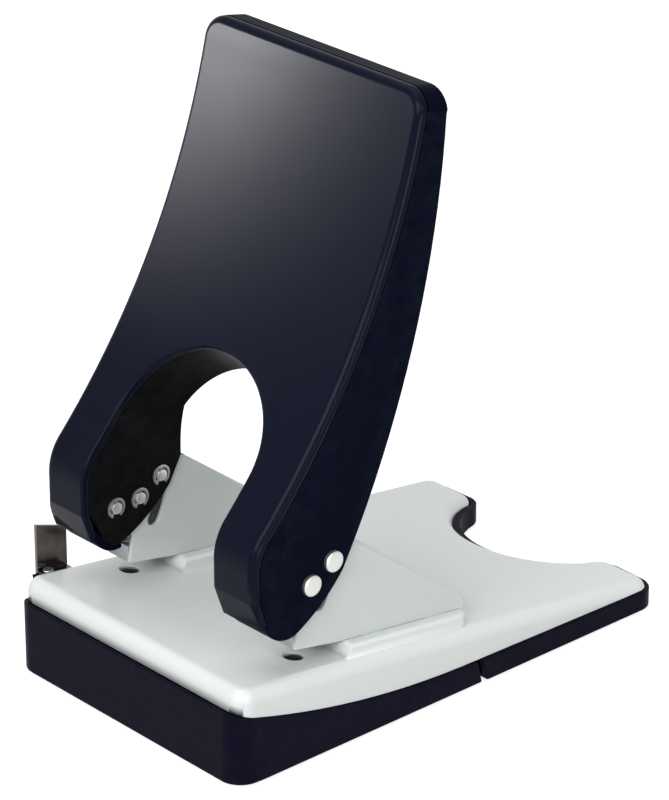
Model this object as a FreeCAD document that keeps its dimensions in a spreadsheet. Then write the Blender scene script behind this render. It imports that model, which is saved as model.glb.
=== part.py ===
import FreeCAD, Part
import math
import os

import Sketcher

# A heavy-duty two-hole lever punch. X runs across it, Y from the paper side (front, negative)
# to the handle side (back, positive), and Z up. The origin is the centre of the base's
# footprint, on the surface that the feet stand on. Lengths are millimetres, angles degrees.
#
# Heights and depths of the mechanism are measured from the punching point: the point where
# the punches' common line meets the paper table. The table slopes down towards the back.

SIZES = {
    # base
    "base_length": 185.8,
    "base_width": 110.0,
    "wall": 2.2,
    "floor_thickness": 2.0,
    "foot_height": 1.0,
    "foot_radius": 5.0,
    "foot_recess": 1.0,
    "foot_inset": 16.0,
    "back_foot_inset": 20.0,
    "front_corner_radius": 8.0,
    "back_corner_radius": 8.0,
    "prong_radius": 8.0,
    "front_wall_height": 24.6,
    "split_wall_height": 7.9,
    "back_wall_height": 6.324,
    "wall_curve_radius": 330.0,
    "tray_length": 102.0,
    "tray_gap": 2.2,
    "tray_rake": 2.0,
    "notch_radius": 29.0,
    "notch_depth": 28.5,
    # cover of the base, which is the paper table
    "punch_setback": 35.9,
    "table_height": 29.0,
    "table_back_height": 9.9623,
    "cover_side_inset": 1.0,
    "cover_front_inset": 2.2,
    "cover_back_inset": 2.4,
    "cover_skin": 2.4,
    "cover_round": 4.5,
    "seam": 0.3,
    "plate_drop": 4.8,
    "platform_front": 13.0,
    "platform_rake": 3.0,
    "platform_back": 66.5,
    "platform_margin": 4.4,
    "platform_round": 1.6,
    # steel plate under the cover
    "plate_thickness": 2.0,
    "plate_side_inset": 5.0,
    "plate_front": -30.0,
    "plate_notch_gap": 7.5,
    "hole_gap": 0.3,
    # dies and punches
    "hole_spacing": 80.0,
    "punch_radius": 3.0,
    "running_gap": 0.05,
    "die_radius": 5.0,
    "die_drop": 1.1,
    "die_height": 7.6,
    "die_room_gap": 0.2,
    "die_relief": 0.6,
    "die_land": 3.0,
    "throat_gap": 5.8,
    "ledge_rise": 4.4,
    "ledge_gap": 0.2,
    "tip_recess": 0.1,
    "guide_block_front": 4.6,
    "guide_block_back": 6.0,
    "guide_block_height": 5.6,
    "punch_head_width": 8.0,
    "punch_head_front": -8.9,
    "jaw_thickness": 2.9,
    "fork_play": 0.4,
    "fork_drop": 0.15,
    "punch_lip": 0.4,
    "punch_hollow": 1.0,
    "spring_wire_radius": 0.35,
    "spring_radius": 4.05,
    "spring_turns": 6.0,
    "spring_seat": 0.05,
    # linkage, from the punching point and the handle's pivot
    "pivot_setback": 11.4,
    "pivot_rise": 28.9,
    "drive_radius": 9.81,
    "drive_angle": 2.3,
    "stop_radius": 19.6,
    "stop_angle": 16.9,
    "press_angle": 48.0,
    "pin_radius": 2.0,
    "pin_head_radius": 3.5,
    "pin_head_height": 1.8,
    "hidden_head_height": 1.0,
    "pin_reach": 1.3,
    "pin_play": 0.08,
    "ring_radius": 3.5,
    "ring_thickness": 0.7,
    "groove_radius": 1.6,
    "ring_gap": 0.1,
    "ring_play": 0.05,
    "slot_clearance": 0.35,
    # punch frames, the two painted channels
    "sheet": 1.4,
    "frame_width": 12.8,
    "frame_tip": 5.0,
    "frame_throat_rise": 15.5,
    "frame_throat_setback": 3.2,
    "pivot_boss_radius": 6.2,
    "boss_low_angle": -73.0,
    "boss_high_angle": 110.0,
    "frame_brow": 3.5,
    "frame_brow_rise": 42.6,
    "frame_crest": 20.0,
    "frame_crest_rise": 36.6,
    "frame_tail": 68.3,
    "frame_tail_height": 4.0,
    "frame_tail_round": 3.0,
    "frame_bend": 1.2,
    "tab_width": 8.0,
    "tab_play": 0.15,
    "tab_end": 0.9,
    "front_tab_row": 28.0,
    "back_tab_row": 54.0,
    # handle
    "inner_cheek_gap": 0.3,
    "cheek_gap": 0.3,
    "cheek_sheet": 1.0,
    "web_sheet": 1.2,
    "panel_gap": 0.1,
    "shell_end_wall": 2.5,
    "shell_end_gap": 0.4,
    "shell_nose_wall": 2.3,
    "shell_side_wall": 2.3,
    "groove_gap": 0.6,
    "open_reach": 5.0,
    "nose_reach": 3.0,
    "front_centre_setback": 212.96,
    "front_centre_rise": 229.5,
    "front_radius": 265.1,
    "back_centre_setback": 265.8,
    "back_centre_rise": 189.6,
    "back_radius": 320.8,
    "handle_top_front": 177.8,
    "handle_top_back": 176.4,
    "handle_corner_radius": 8.0,
    "cheek_front": -22.2,
    "cheek_low": 30.0,
    "cheek_high": 38.0,
    "brow_radius": 15.4,
    "brow_high": 49.0,
    "heel_radius": 57.0,
    "nose_centre_setback": 10.3,
    "nose_centre_rise": 22.7,
    "nose_radius": 9.5,
    "nose_back_angle": -75.0,
    "nose_front_angle": 187.0,
    "cover_thickness": 3.0,
    "cover_edge_round": 2.6,
    "cover_crown": 0.6,
    "cover_brow_step": 2.0,
    "cover_lip_setback": 21.7,
    "cover_lip_rise": 20.0,
    "arch_lip": 0.6,
    "arch_tilt": 53.13,
    "arch_setback": 7.7,
    "arch_rise": 60.0,
    "arch_wall_depth": 16.3,
    "arch_wall_knee": 57.0,
    "arch_wall_run": 42.0,
    "arch_wall_climb": 80.0,
    "frame_back_step": 1.0,
    # paper guide
    "guide_front": -22.6,
    "guide_width": 12.4,
    "guide_sheet": 1.2,
    "guide_length": 109.0,
    "guide_overhang": 5.6,
    "guide_drop": 3.3,
    "flag_front_rise": 16.2,
    "flag_back_rise": 12.1,
    "track_rail": 1.3,
    "knob_length": 7.0,
    "knob_height": 8.5,
    "knob_width": 4.6,
    "knob_lead": 1.4,
    "knob_taper": 2.6,
    "guide_play": 0.3,
    "guide_end_room": 1.0,
    "guide_slot_gap": 0.4,
    "guide_slot_depth": 8.0,
    "guide_rivet_inset": 2.0,
    # fasteners
    "screw_radius": 1.5,
    "screw_head_radius": 2.8,
    "screw_head_height": 1.6,
    "post_radius": 4.0,
    "guide_rivet_radius": 1.0,
    "guide_rivet_head_radius": 1.7,
    "guide_rivet_head_height": 0.8,
    "base_screw_half_spread": 42.0,
    "base_screw_back_inset": 8.0,
    "base_screw_pitch": 24.0,
    "cover_screw_half_spread": 20.0,
    "cover_screw_front_row": 5.0,
    "cover_screw_back_row": 92.0,
    "handle_screw_half_spread": 32.0,
    "handle_screw_low_rise": 100.0,
    "handle_screw_high_rise": 158.0,
    "screw_skin": 0.9,
    "screw_tip_gap": 0.09,
    "thread_play": 0.05,
}

os.makedirs("parts", exist_ok=True)
doc = FreeCAD.newDocument("HolePunch")
sheet = doc.addObject("Spreadsheet::Sheet", "Sizes")
for row, (alias, number) in enumerate(SIZES.items(), start=1):
    sheet.set("A%d" % row, alias)
    sheet.set("B%d" % row, str(number))
    sheet.setAlias("B%d" % row, alias)
doc.recompute()


class Size:
    """A number together with the spreadsheet expression that gives it."""

    def __init__(self, value, text):
        self.value = value
        self.text = text

    def __add__(self, other):
        other = size_of(other)
        return Size(self.value + other.value, "(%s + %s)" % (self.text, other.text))

    def __sub__(self, other):
        other = size_of(other)
        return Size(self.value - other.value, "(%s - %s)" % (self.text, other.text))

    def __mul__(self, other):
        other = size_of(other)
        return Size(self.value * other.value, "(%s * %s)" % (self.text, other.text))

    def __truediv__(self, other):
        other = size_of(other)
        return Size(self.value / other.value, "(%s / %s)" % (self.text, other.text))

    def __neg__(self):
        return Size(-self.value, "(0 - %s)" % self.text)

    def __radd__(self, other):
        return size_of(other) + self

    def __rsub__(self, other):
        return size_of(other) - self

    def __rmul__(self, other):
        return size_of(other) * self


def size_of(number):
    if isinstance(number, Size):
        return number
    return Size(float(number), repr(float(number)))


def root(number):
    return Size(math.sqrt(number.value), "sqrt(%s)" % number.text)


def sine(angle):
    return Size(math.sin(math.radians(angle.value)), "sin(%s)" % angle.text)


def cosine(angle):
    return Size(math.cos(math.radians(angle.value)), "cos(%s)" % angle.text)


def arcsine(number):
    return Size(math.degrees(math.asin(number.value)), "(asin(%s) / 1 deg)" % number.text)


class Sheet:
    """Reads a named size of the sheet, as in size.base_length."""

    def __getattr__(self, alias):
        return Size(SIZES[alias], "Sizes." + alias)


size = Sheet()


def bind(target, prop, value):
    """Ties one property to an expression over the sheet."""
    target.setExpression(prop, size_of(value).text)


def place(target, x=0, y=0, z=0):
    """Ties a Placement's position to the sheet and returns the object."""
    for axis, value in (("x", x), ("y", y), ("z", z)):
        bind(target, "Placement.Base." + axis, value)
    return target


# ---- reference lines that several sub-parts share

base_front = -size.base_length / 2
punch_y = base_front + size.punch_setback
base_bottom = size.foot_height
half_base = size.base_width / 2
hole_x = size.hole_spacing / 2
pivot_y = punch_y - size.pivot_setback
pivot_z = size.table_height + size.pivot_rise
frame_low_x = hole_x - size.frame_width / 2
frame_high_x = hole_x + size.frame_width / 2
arm_inner = frame_low_x - size.inner_cheek_gap - size.cheek_sheet
cheek_high_x = frame_high_x + size.cheek_gap + size.cheek_sheet
half_handle = cheek_high_x + size.shell_side_wall
table_slope = (size.table_height - size.table_back_height) / (size.base_length - size.punch_setback)
plate_back = size.base_length - size.punch_setback - size.notch_depth - size.plate_notch_gap
plate_half_width = half_base - size.plate_side_inset
guide_reach = half_base + size.guide_overhang

# Cutters reach FAR past the whole punch, and PAST through the one wall that they pierce.
FAR = 100
PAST = 1
# Points closer than NEAR lie on the same edge.
NEAR = 0.01


def behind(distance):
    """Y of a point this far behind the punching point."""
    return punch_y + distance


def above(distance):
    """Z of a point this far above the punching point."""
    return size.table_height + distance


def table(distance, rise=0):
    """Z of the sloping table, this far behind the punching point, plus a rise."""
    return size.table_height + rise - table_slope * distance


def pin_place(radius, angle, turned=0):
    """Y and Z of a pin that the handle carries, after the handle has turned."""
    direction = angle - size_of(turned)
    return pivot_y + radius * cosine(direction), pivot_z + radius * sine(direction)


guide_back = size.guide_front + size.guide_width
guide_low = -size.guide_drop - size.guide_sheet


# ---- features

def plane_of(body, role):
    for feature in body.Origin.OriginFeatures:
        if feature.Role == role:
            return feature
    raise ValueError("no plane " + role)


def arc_centre(start, end, radius, turn):
    """Centre of the shorter arc from start to end that turns left (1) or right (-1)."""
    across = FreeCAD.Vector(end[0] - start[0], end[1] - start[1], 0)
    half = across.Length / 2
    rise = math.sqrt(radius * radius - half * half)
    left = FreeCAD.Vector(-across.y, across.x, 0).normalize()
    middle = FreeCAD.Vector((start[0] + end[0]) / 2, (start[1] + end[1]) / 2, 0)
    return middle + left * rise * turn


def fix_coordinate(sketch, kind, geometry, point, value, limits):
    """Ties one coordinate of a sketch point to the sheet; zero is a point on an axis."""
    axis = {"DistanceX": -2, "DistanceY": -1}[kind]
    if value.value == 0:
        limits.append((Sketcher.Constraint("PointOnObject", geometry, point, axis), None))
    else:
        limits.append((Sketcher.Constraint(kind, geometry, point, value.value), value.text))


def outline(body, role, corners, offset=0):
    """A closed sketch. Each corner is (x, y), or (x, y, radius, turn) when an arc arrives at it."""
    sketch = body.newObject("Sketcher::SketchObject", body.Name + "_sketch")
    sketch.AttachmentSupport = [(plane_of(body, role), "")]
    sketch.MapMode = "FlatFace"
    if isinstance(offset, Size):
        bind(sketch, "AttachmentOffset.Base.z", offset)
    else:
        sketch.AttachmentOffset = FreeCAD.Placement(FreeCAD.Vector(0, 0, offset), FreeCAD.Rotation())
    points = [(size_of(corner[0]), size_of(corner[1])) for corner in corners]
    limits = []
    ends = []
    for index, corner in enumerate(corners):
        start = (points[index - 1][0].value, points[index - 1][1].value)
        end = (points[index][0].value, points[index][1].value)
        if len(corner) == 2:
            line = Part.LineSegment(FreeCAD.Vector(*start, 0), FreeCAD.Vector(*end, 0))
            geometry = sketch.addGeometry(line)
            ends.append((geometry, 1, 2))
            continue
        radius = size_of(corner[2])
        turn = corner[3]
        centre = arc_centre(start, end, radius.value, turn)
        circle = Part.Circle(centre, FreeCAD.Vector(0, 0, 1), radius.value)
        angles = [math.atan2(p[1] - centre.y, p[0] - centre.x) for p in (start, end)]
        if turn < 0:
            angles.reverse()
        geometry = sketch.addGeometry(Part.ArcOfCircle(circle, angles[0], angles[1]))
        ends.append((geometry, 1, 2) if turn > 0 else (geometry, 2, 1))
        limits.append((Sketcher.Constraint("Radius", geometry, radius.value), radius.text))
    for index, (geometry, start_point, end_point) in enumerate(ends):
        before = ends[index - 1]
        limits.append((Sketcher.Constraint("Coincident", before[0], before[2], geometry, start_point), None))
        x, y = points[index]
        fix_coordinate(sketch, "DistanceX", geometry, end_point, x, limits)
        fix_coordinate(sketch, "DistanceY", geometry, end_point, y, limits)
    numbers = sketch.addConstraint([limit for limit, text in limits])
    for number, (limit, text) in zip(numbers, limits):
        if text:
            sketch.setExpression("Constraints[%d]" % number, text)
    return sketch


def prism(name, role, corners, low, high):
    """A body padded from an outline, between two distances along its plane's normal."""
    low = size_of(low)
    high = size_of(high)
    body = doc.addObject("PartDesign::Body", name)
    pad = body.newObject("PartDesign::Pad", name + "_pad")
    pad.Profile = outline(body, role, corners, low)
    bind(pad, "Length", high - low)
    body.Tip = pad
    doc.recompute()
    return body


def across(name, corners, low, high):
    """A prism along X, from an outline in Y and Z."""
    return prism(name, "YZ_Plane", corners, low, high)


def upright(name, corners, low, high):
    """A prism along Z, from an outline in X and Y."""
    return prism(name, "XY_Plane", corners, low, high)


def rounded(body, radius, chosen):
    """Rounds the edges of a body's last feature that the test picks."""
    base = body.Tip
    edges = base.Shape.Edges
    names = ["Edge%d" % number for number, edge in enumerate(edges, start=1) if chosen(edge)]
    fillet = body.newObject("PartDesign::Fillet", body.Name + "_round")
    fillet.Base = (base, names)
    bind(fillet, "Radius", radius)
    body.Tip = fillet
    doc.recompute()
    return body


def combine(kind, name, base, tool):
    result = doc.addObject(kind, name)
    result.Base = base
    result.Tool = tool
    return result


def cut(name, base, *tools):
    tool = tools[0] if len(tools) == 1 else fuse(name + "_tools", *tools)
    return combine("Part::Cut", name, base, tool)


def common(name, base, tool):
    return combine("Part::Common", name, base, tool)


def fuse(name, *shapes):
    result = doc.addObject("Part::MultiFuse", name)
    result.Shapes = list(shapes)
    result.Refine = True
    return result


def group(name, *shapes):
    result = doc.addObject("Part::Compound", name)
    result.Links = list(shapes)
    return result


def mirrored(name, source):
    """The same piece on the other side of the punch's middle plane."""
    result = doc.addObject("Part::Mirroring", name)
    result.Source = source
    result.Normal = FreeCAD.Vector(1, 0, 0)
    return result


def post(name, radius, x, y, low, high):
    """An upright cylinder."""
    cylinder = doc.addObject("Part::Cylinder", name)
    bind(cylinder, "Radius", radius)
    bind(cylinder, "Height", size_of(high) - size_of(low))
    return place(cylinder, x, y, size_of(low))


def rod(name, radius, low, high, y, z):
    """A cylinder along X."""
    cylinder = doc.addObject("Part::Cylinder", name)
    bind(cylinder, "Radius", radius)
    bind(cylinder, "Height", size_of(high) - size_of(low))
    cylinder.Placement = FreeCAD.Placement(FreeCAD.Vector(), FreeCAD.Rotation(FreeCAD.Vector(0, 1, 0), 90))
    return place(cylinder, size_of(low), y, z)


def sloping_band(name, front, back, top, bottom, low, high):
    """A slab parallel to the table, between two distances from it."""
    corners = [
        (behind(front), table(front, bottom)),
        (behind(back), table(back, bottom)),
        (behind(back), table(back, top)),
        (behind(front), table(front, top)),
    ]
    return across(name, corners, low, high)


nodes = []


def node(label, feature):
    """Keeps a finished sub-part under the name of its file."""
    feature.Label = label
    nodes.append(feature)
    return feature


def both_sides(stem, feature):
    """A right-hand sub-part and its mirror image."""
    node(stem + "_right", feature)
    node(stem + "_left", mirrored(stem + "_left", feature))


# ---- base

def base_outline(side_inset, front_inset, back_inset):
    """The base's plan: straight sides, and a round hand notch in the middle of the back."""
    x = half_base - side_inset
    front = base_front + front_inset
    back = -base_front - back_inset
    radius = size.notch_radius + back_inset
    centre = -base_front - size.notch_depth + size.notch_radius
    notch_x = root(radius * radius - (centre - back) * (centre - back))
    return [
        (-x, front),
        (x, front),
        (x, back),
        (notch_x, back),
        (-notch_x, back, radius, -1),
        (-x, back),
    ]


def base_block(name, side_inset, front_inset, back_inset, low, high):
    """The base's plan as an upright block with all its corners rounded."""
    body = upright(name, base_outline(side_inset, front_inset, back_inset), low, high)
    front = (base_front + front_inset).value
    side = (half_base - side_inset).value

    def is_upright(edge):
        return abs(edge.Vertexes[0].Z - edge.Vertexes[1].Z) > PAST and len(edge.Vertexes) == 2

    def at_front(edge):
        return is_upright(edge) and edge.Vertexes[0].Y < front + PAST

    def at_back(edge):
        return is_upright(edge) and edge.Vertexes[0].Y > 0 and abs(edge.Vertexes[0].X) > side - PAST

    def at_notch(edge):
        return is_upright(edge) and edge.Vertexes[0].Y > 0 and abs(edge.Vertexes[0].X) < side - PAST

    rounded(body, size.front_corner_radius - front_inset, at_front)
    rounded(body, size.back_corner_radius - back_inset, at_back)
    rounded(body, size.prong_radius - back_inset, at_notch)
    return body


split_y = base_front + size.tray_length


def wall_top(name, lift):
    """Everything above the black walls' top edge, lifted by a seam."""
    corners = [
        (base_front - FAR, base_bottom + size.front_wall_height + lift),
        (base_front, base_bottom + size.front_wall_height + lift),
        (split_y, base_bottom + size.split_wall_height + lift, size.wall_curve_radius, 1),
        (-base_front, base_bottom + size.back_wall_height + lift),
        (-base_front + FAR, base_bottom + size.back_wall_height + lift),
        (-base_front + FAR, base_bottom + 2 * FAR),
        (base_front - FAR, base_bottom + 2 * FAR),
    ]
    return across(name, corners, -2 * FAR, 2 * FAR)


def split_block(name, lead):
    """Everything in front of the raked split, which a lead moves towards the back."""
    corners = [
        (base_front - FAR, -FAR),
        (split_y + lead + size.tray_rake, -FAR),
        (split_y + lead + size.tray_rake, base_bottom),
        (split_y + lead, base_bottom + size.split_wall_height),
        (split_y + lead, 2 * FAR),
        (base_front - FAR, 2 * FAR),
    ]
    return across(name, corners, -2 * FAR, 2 * FAR)


def feet(name, distance_x, distance_y):
    """Rubber discs let into the floor, one on each side."""
    top = base_bottom + size.foot_recess
    right = post(name + "_r", size.foot_radius, distance_x, distance_y, 0, top)
    left = post(name + "_l", size.foot_radius, -distance_x, distance_y, 0, top)
    return group(name, right, left)


foot_x = half_base - size.foot_inset
tray_foot_y = base_front + size.foot_inset
base_foot_y = -base_front - size.back_foot_inset


def make_chip_tray():
    outer = base_block("tray_outer", 0, 0, 0, base_bottom, base_bottom + FAR)
    inner = base_block("tray_inner", size.wall, size.wall, size.wall, base_bottom + size.floor_thickness, FAR)
    inner_front = common("tray_inner_front", inner, split_block("tray_inner_split", -size.wall))
    blank = common("tray_blank", outer, split_block("tray_split", 0))
    recess = feet("tray_foot_recess", foot_x, tray_foot_y)
    node("chip_tray", cut("chip_tray", blank, inner_front, wall_top("tray_top", 0), recess))
    node("tray_feet", feet("tray_feet", foot_x, tray_foot_y))


base_screw_back_row = plate_back - size.base_screw_back_inset
base_screw_front_row = base_screw_back_row - size.base_screw_pitch
base_screw_rows = (("front", base_screw_front_row), ("back", base_screw_back_row))
cover_screw_rows = (("front", size.cover_screw_front_row), ("back", size.cover_screw_back_row))
under_plate = -size.plate_drop - size.plate_thickness


def each_side(x):
    return ((x, "right"), (-x, "left"))


def grid(rows, half_spread):
    """A tag, X and row for each of the places on both sides of the middle."""
    return [(where + "_" + side, x, row) for where, row in rows for x, side in each_side(half_spread)]


base_screw_places = grid(base_screw_rows, size.base_screw_half_spread)
cover_screw_places = grid(cover_screw_rows, size.cover_screw_half_spread)


def make_rear_base():
    outer = base_block("rear_outer", 0, 0, 0, base_bottom, base_bottom + FAR)
    inner = base_block("rear_inner", size.wall, size.wall, size.wall, base_bottom + size.floor_thickness, FAR)
    high = wall_top("rear_high", 0)
    low_part = cut("rear_low_part", outer, inner, high)
    notch_y = -base_front - size.notch_depth + size.notch_radius
    ring = post("rear_ring", size.notch_radius + size.wall, 0, notch_y, base_bottom, FAR)
    ring_hole = post("rear_ring_hole", size.notch_radius, 0, notch_y, 0, 2 * FAR)
    skin = -size.cover_skin - size.seam
    high_slab = sloping_band("rear_slab", -2 * FAR, 3 * FAR, skin, -FAR, -2 * FAR, 2 * FAR)
    notch_ring = common("rear_notch_ring", outer, cut("rear_rim", ring, ring_hole))
    notch_wall = common("rear_notch_wall", notch_ring, high_slab)
    posts = []
    holes = []
    for tag, x, row in base_screw_places:
        posts.append(post("rear_post_" + tag, size.post_radius, x, behind(row), base_bottom, 2 * FAR))
        hole_radius = size.screw_radius + size.thread_play
        holes.append(post("rear_hole_" + tag, hole_radius, x, behind(row), 0, 2 * FAR))
        sink_radius = size.screw_head_radius + size.hole_gap
        head_top = base_bottom + size.screw_head_height
        holes.append(post("rear_sink_" + tag, sink_radius, x, behind(row), 0, head_top))
    under = sloping_band("rear_under", -2 * FAR, 3 * FAR, under_plate, -FAR, -2 * FAR, 2 * FAR)
    trimmed = common("rear_posts", fuse("rear_posts_raw", *posts), under)
    whole = fuse("rear_whole", low_part, notch_wall, trimmed)
    recess = feet("rear_foot_recess", foot_x, base_foot_y)
    front = split_block("rear_split", size.tray_gap)
    node("rear_base", cut("rear_base", whole, front, recess, *holes))
    node("base_feet", feet("base_feet", foot_x, base_foot_y))


def screw(name, x, y, low, high):
    """A screw pointing up, its head at the bottom."""
    shank = post(name + "_shank", size.screw_radius, x, y, low, high)
    head = post(name + "_head", size.screw_head_radius, x, y, low, size_of(low) + size.screw_head_height)
    return fuse(name, shank, head)


def make_base_screws():
    screws = []
    for tag, x, row in base_screw_places:
        top = table(row, -size.plate_drop)
        screws.append(screw("base_screw_" + tag, x, behind(row), base_bottom, top))
    node("base_screws", group("base_screws", *screws))
    screws = []
    for tag, x, row in cover_screw_places:
        seat = table(row + size.screw_head_radius, under_plate)
        top = table(row, -size.cover_skin / 2)
        screws.append(screw("cover_screw_" + tag, x, behind(row), seat - size.screw_head_height, top))
    node("cover_screws", group("cover_screws", *screws))


tab_rows = (("front", size.front_tab_row), ("back", size.back_tab_row))


def box(name, low, high):
    """A block between two opposite corners."""
    solid = doc.addObject("Part::Box", name)
    for prop, axis in (("Length", 0), ("Width", 1), ("Height", 2)):
        bind(solid, prop, size_of(high[axis]) - size_of(low[axis]))
    return place(solid, *[size_of(value) for value in low])


def plate_places():
    """A tag, inner X and row for each tab of the right-hand frame's two plates."""
    sides = (("inner", frame_low_x), ("outer", frame_high_x - size.sheet))
    return [(where + "_" + tag, low_x, row) for where, row in tab_rows for tag, low_x in sides]


def frame_tabs(stem, play):
    """The tabs of a frame's two plates, or with some play the slots that they pass through."""
    tabs = []
    half = size.tab_width / 2 + play
    for tag, low_x, row in plate_places():
        low = (low_x - play, behind(row) - half, table(row, under_plate - size.tab_end / 2))
        high = (low_x + size.sheet + play, behind(row) + half, table(row, size.throat_gap + play))
        tabs.append(box(stem + "_" + tag, low, high))
    return tabs


def tab_slots(stem):
    """The slots of both frames' tabs."""
    right = group(stem + "_slots_right", *frame_tabs(stem + "_slot", size.tab_play))
    return [right, mirrored(stem + "_slots_left", right)]


def make_base_plate():
    blank = sloping_band(
        "plate_blank", size.plate_front, plate_back, -size.plate_drop, under_plate,
        -plate_half_width, plate_half_width,
    )
    holes = tab_slots("plate")
    for x, side in each_side(hole_x):
        die_radius = size.die_radius + size.running_gap
        holes.append(post("plate_die_hole_" + side, die_radius, x, punch_y, 0, 2 * FAR))
    screw_radius = size.screw_radius + size.thread_play
    for stem, places in (("base", base_screw_places), ("cover", cover_screw_places)):
        for tag, x, row in places:
            name = "plate_%s_hole_%s" % (stem, tag)
            holes.append(post(name, screw_radius, x, behind(row), 0, 2 * FAR))
    node("base_plate", cut("base_plate", blank, *holes))


def platform(name):
    """The raised bar of the cover that a frame stands over; its raked front end stops the paper."""
    front = size.platform_front
    rake = size.platform_rake
    back = size.platform_back
    rise = size.ledge_rise
    corners = [
        (behind(front), table(front, -size.plate_drop)),
        (behind(back), table(back, -size.plate_drop)),
        (behind(back), table(back, rise)),
        (behind(front + rake), table(front + rake, rise)),
        (behind(front), table(front)),
    ]
    body = across(name, corners, frame_low_x - size.platform_margin, frame_high_x + size.platform_margin)

    def is_back_corner(edge):
        ends = edge.Vertexes
        return min(end.Y for end in ends) > behind(back).value - NEAR and abs(ends[0].Z - ends[1].Z) > PAST

    def is_top_edge(edge):
        return all(abs(end.Z - table(end.Y - punch_y.value, rise).value) < NEAR for end in edge.Vertexes)

    rounded(body, size.platform_margin, is_back_corner)
    return rounded(body, size.platform_round, is_top_edge)


def make_base_cover():
    block = base_block(
        "cover_block", size.cover_side_inset, size.cover_front_inset, size.cover_back_inset, 0, 2 * FAR,
    )
    pocket = block.newObject("PartDesign::Pocket", "cover_table_cut")
    corners = [
        (behind(-2 * FAR), table(-2 * FAR)),
        (behind(3 * FAR), table(3 * FAR)),
        (behind(3 * FAR), 4 * FAR),
        (behind(-2 * FAR), 4 * FAR),
    ]
    pocket.Profile = outline(block, "YZ_Plane", corners)
    pocket.Type = "ThroughAll"
    pocket.Midplane = True
    block.Tip = pocket
    doc.recompute()

    def on_table(edge):
        return all(abs(end.Z - table(end.Y - punch_y.value).value) < NEAR for end in edge.Vertexes)

    rounded(block, size.cover_round, on_table)
    inset = size.cover_skin
    inner = base_block(
        "cover_inner", size.cover_side_inset + inset, size.cover_front_inset + inset,
        size.cover_back_inset + inset, -FAR, 2 * FAR,
    )
    upper = sloping_band("cover_upper", -2 * FAR, 3 * FAR, -size.cover_skin, -FAR, -2 * FAR, 2 * FAR)
    lower = sloping_band("cover_lower", -2 * FAR, 3 * FAR, -size.plate_drop, -FAR, -2 * FAR, 2 * FAR)
    platform_right = platform("platform_right")
    platform_left = mirrored("platform_left", platform_right)
    posts = [platform_right, platform_left]
    holes = tab_slots("cover")
    for tag, x, row in cover_screw_places:
        y = behind(row)
        posts.append(post("cover_post_" + tag, size.post_radius, x, y, 0, table(row, -size.cover_skin / 2)))
        top = table(row, -size.cover_skin / 2) + size.thread_play
        holes.append(post("cover_hole_" + tag, size.screw_radius + size.thread_play, x, y, 0, top))
    for x, side in each_side(hole_x):
        die_top = above(-size.die_drop)
        room_radius = size.die_radius + size.die_room_gap
        punch_room = size.punch_radius + size.hole_gap
        holes.append(post("cover_punch_hole_" + side, punch_room, x, punch_y, 0, 2 * FAR))
        holes.append(post("cover_die_room_" + side, room_radius, x, punch_y, 0, die_top))
    hollow = common("cover_hollow", inner, upper)
    hollow_cut = cut("cover_hollow_cut", hollow, *posts)
    trim = common("cover_trim", inner, lower)
    raised = fuse("cover_raised", block, platform_right, platform_left)
    under_seam = doc.addObject("Part::Box", "cover_under")
    bind(under_seam, "Length", size.base_width + 2 * FAR)
    bind(under_seam, "Width", size.base_length + 2 * FAR)
    bind(under_seam, "Height", 2 * FAR)
    place(under_seam, -half_base - FAR, base_front - FAR, -FAR)
    below = cut("cover_below", under_seam, wall_top("cover_seam", size.seam))
    slot_gap = size.guide_slot_gap
    slot = sloping_band(
        "cover_guide_slot", size.guide_front - slot_gap, guide_back + slot_gap,
        -size.guide_drop + slot_gap, guide_low - slot_gap, -2 * FAR, -half_base + size.guide_slot_depth,
    )
    node("base_cover", cut("base_cover", raised, hollow_cut, trim, below, slot, *holes))


def make_die():
    high = above(-size.die_drop)
    low = high - size.die_height
    body = post("die_body", size.die_radius, hole_x, punch_y, low, high)
    bore = post("die_bore", size.punch_radius + size.running_gap, hole_x, punch_y, low - PAST, high + PAST)
    relief_top = high - size.die_land
    relief = post("die_relief", size.punch_radius + size.die_relief, hole_x, punch_y, low - PAST, relief_top)
    both_sides("die", cut("die_right", body, bore, relief))


# ---- punch frames and punches

frame_rise = size.ledge_rise + size.ledge_gap
tail_top = table(size.frame_tail, frame_rise + size.frame_tail_height)


def frame_corners():
    """Side view of a frame."""
    boss = size.pivot_boss_radius
    low_angle = size.boss_low_angle
    high_angle = size.boss_high_angle
    return [
        (behind(-size.frame_tip), table(-size.frame_tip, size.throat_gap)),
        (behind(size.platform_front), table(size.platform_front, frame_rise)),
        (behind(size.frame_tail), table(size.frame_tail, frame_rise)),
        (behind(size.frame_tail), tail_top),
        (behind(size.frame_crest), above(size.frame_crest_rise)),
        (behind(size.frame_brow), above(size.frame_brow_rise)),
        (pivot_y + boss * cosine(high_angle), pivot_z + boss * sine(high_angle)),
        (pivot_y - boss, pivot_z, boss, 1),
        (pivot_y + boss * cosine(low_angle), pivot_z + boss * sine(low_angle), boss, 1),
        (behind(-size.frame_throat_setback), above(size.frame_throat_rise)),
    ]


def frame_room():
    """The space between a frame's plates, under the web that joins them along the slope."""
    run = size.frame_tail - size.frame_crest
    fall = above(size.frame_crest_rise) - tail_top
    drop = size.sheet * root(run * run + fall * fall) / run
    corners = [
        (behind(-FAR), 0),
        (behind(size.frame_tail) - size.sheet, 0),
        (behind(size.frame_tail) - size.sheet, tail_top + size.sheet * fall / run - drop),
        (behind(size.frame_crest), above(size.frame_crest_rise) - drop),
        (behind(size.frame_crest), 3 * FAR),
        (behind(-FAR), 3 * FAR),
    ]
    return across("frame_room", corners, frame_low_x + size.sheet, frame_high_x - size.sheet)


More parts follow.
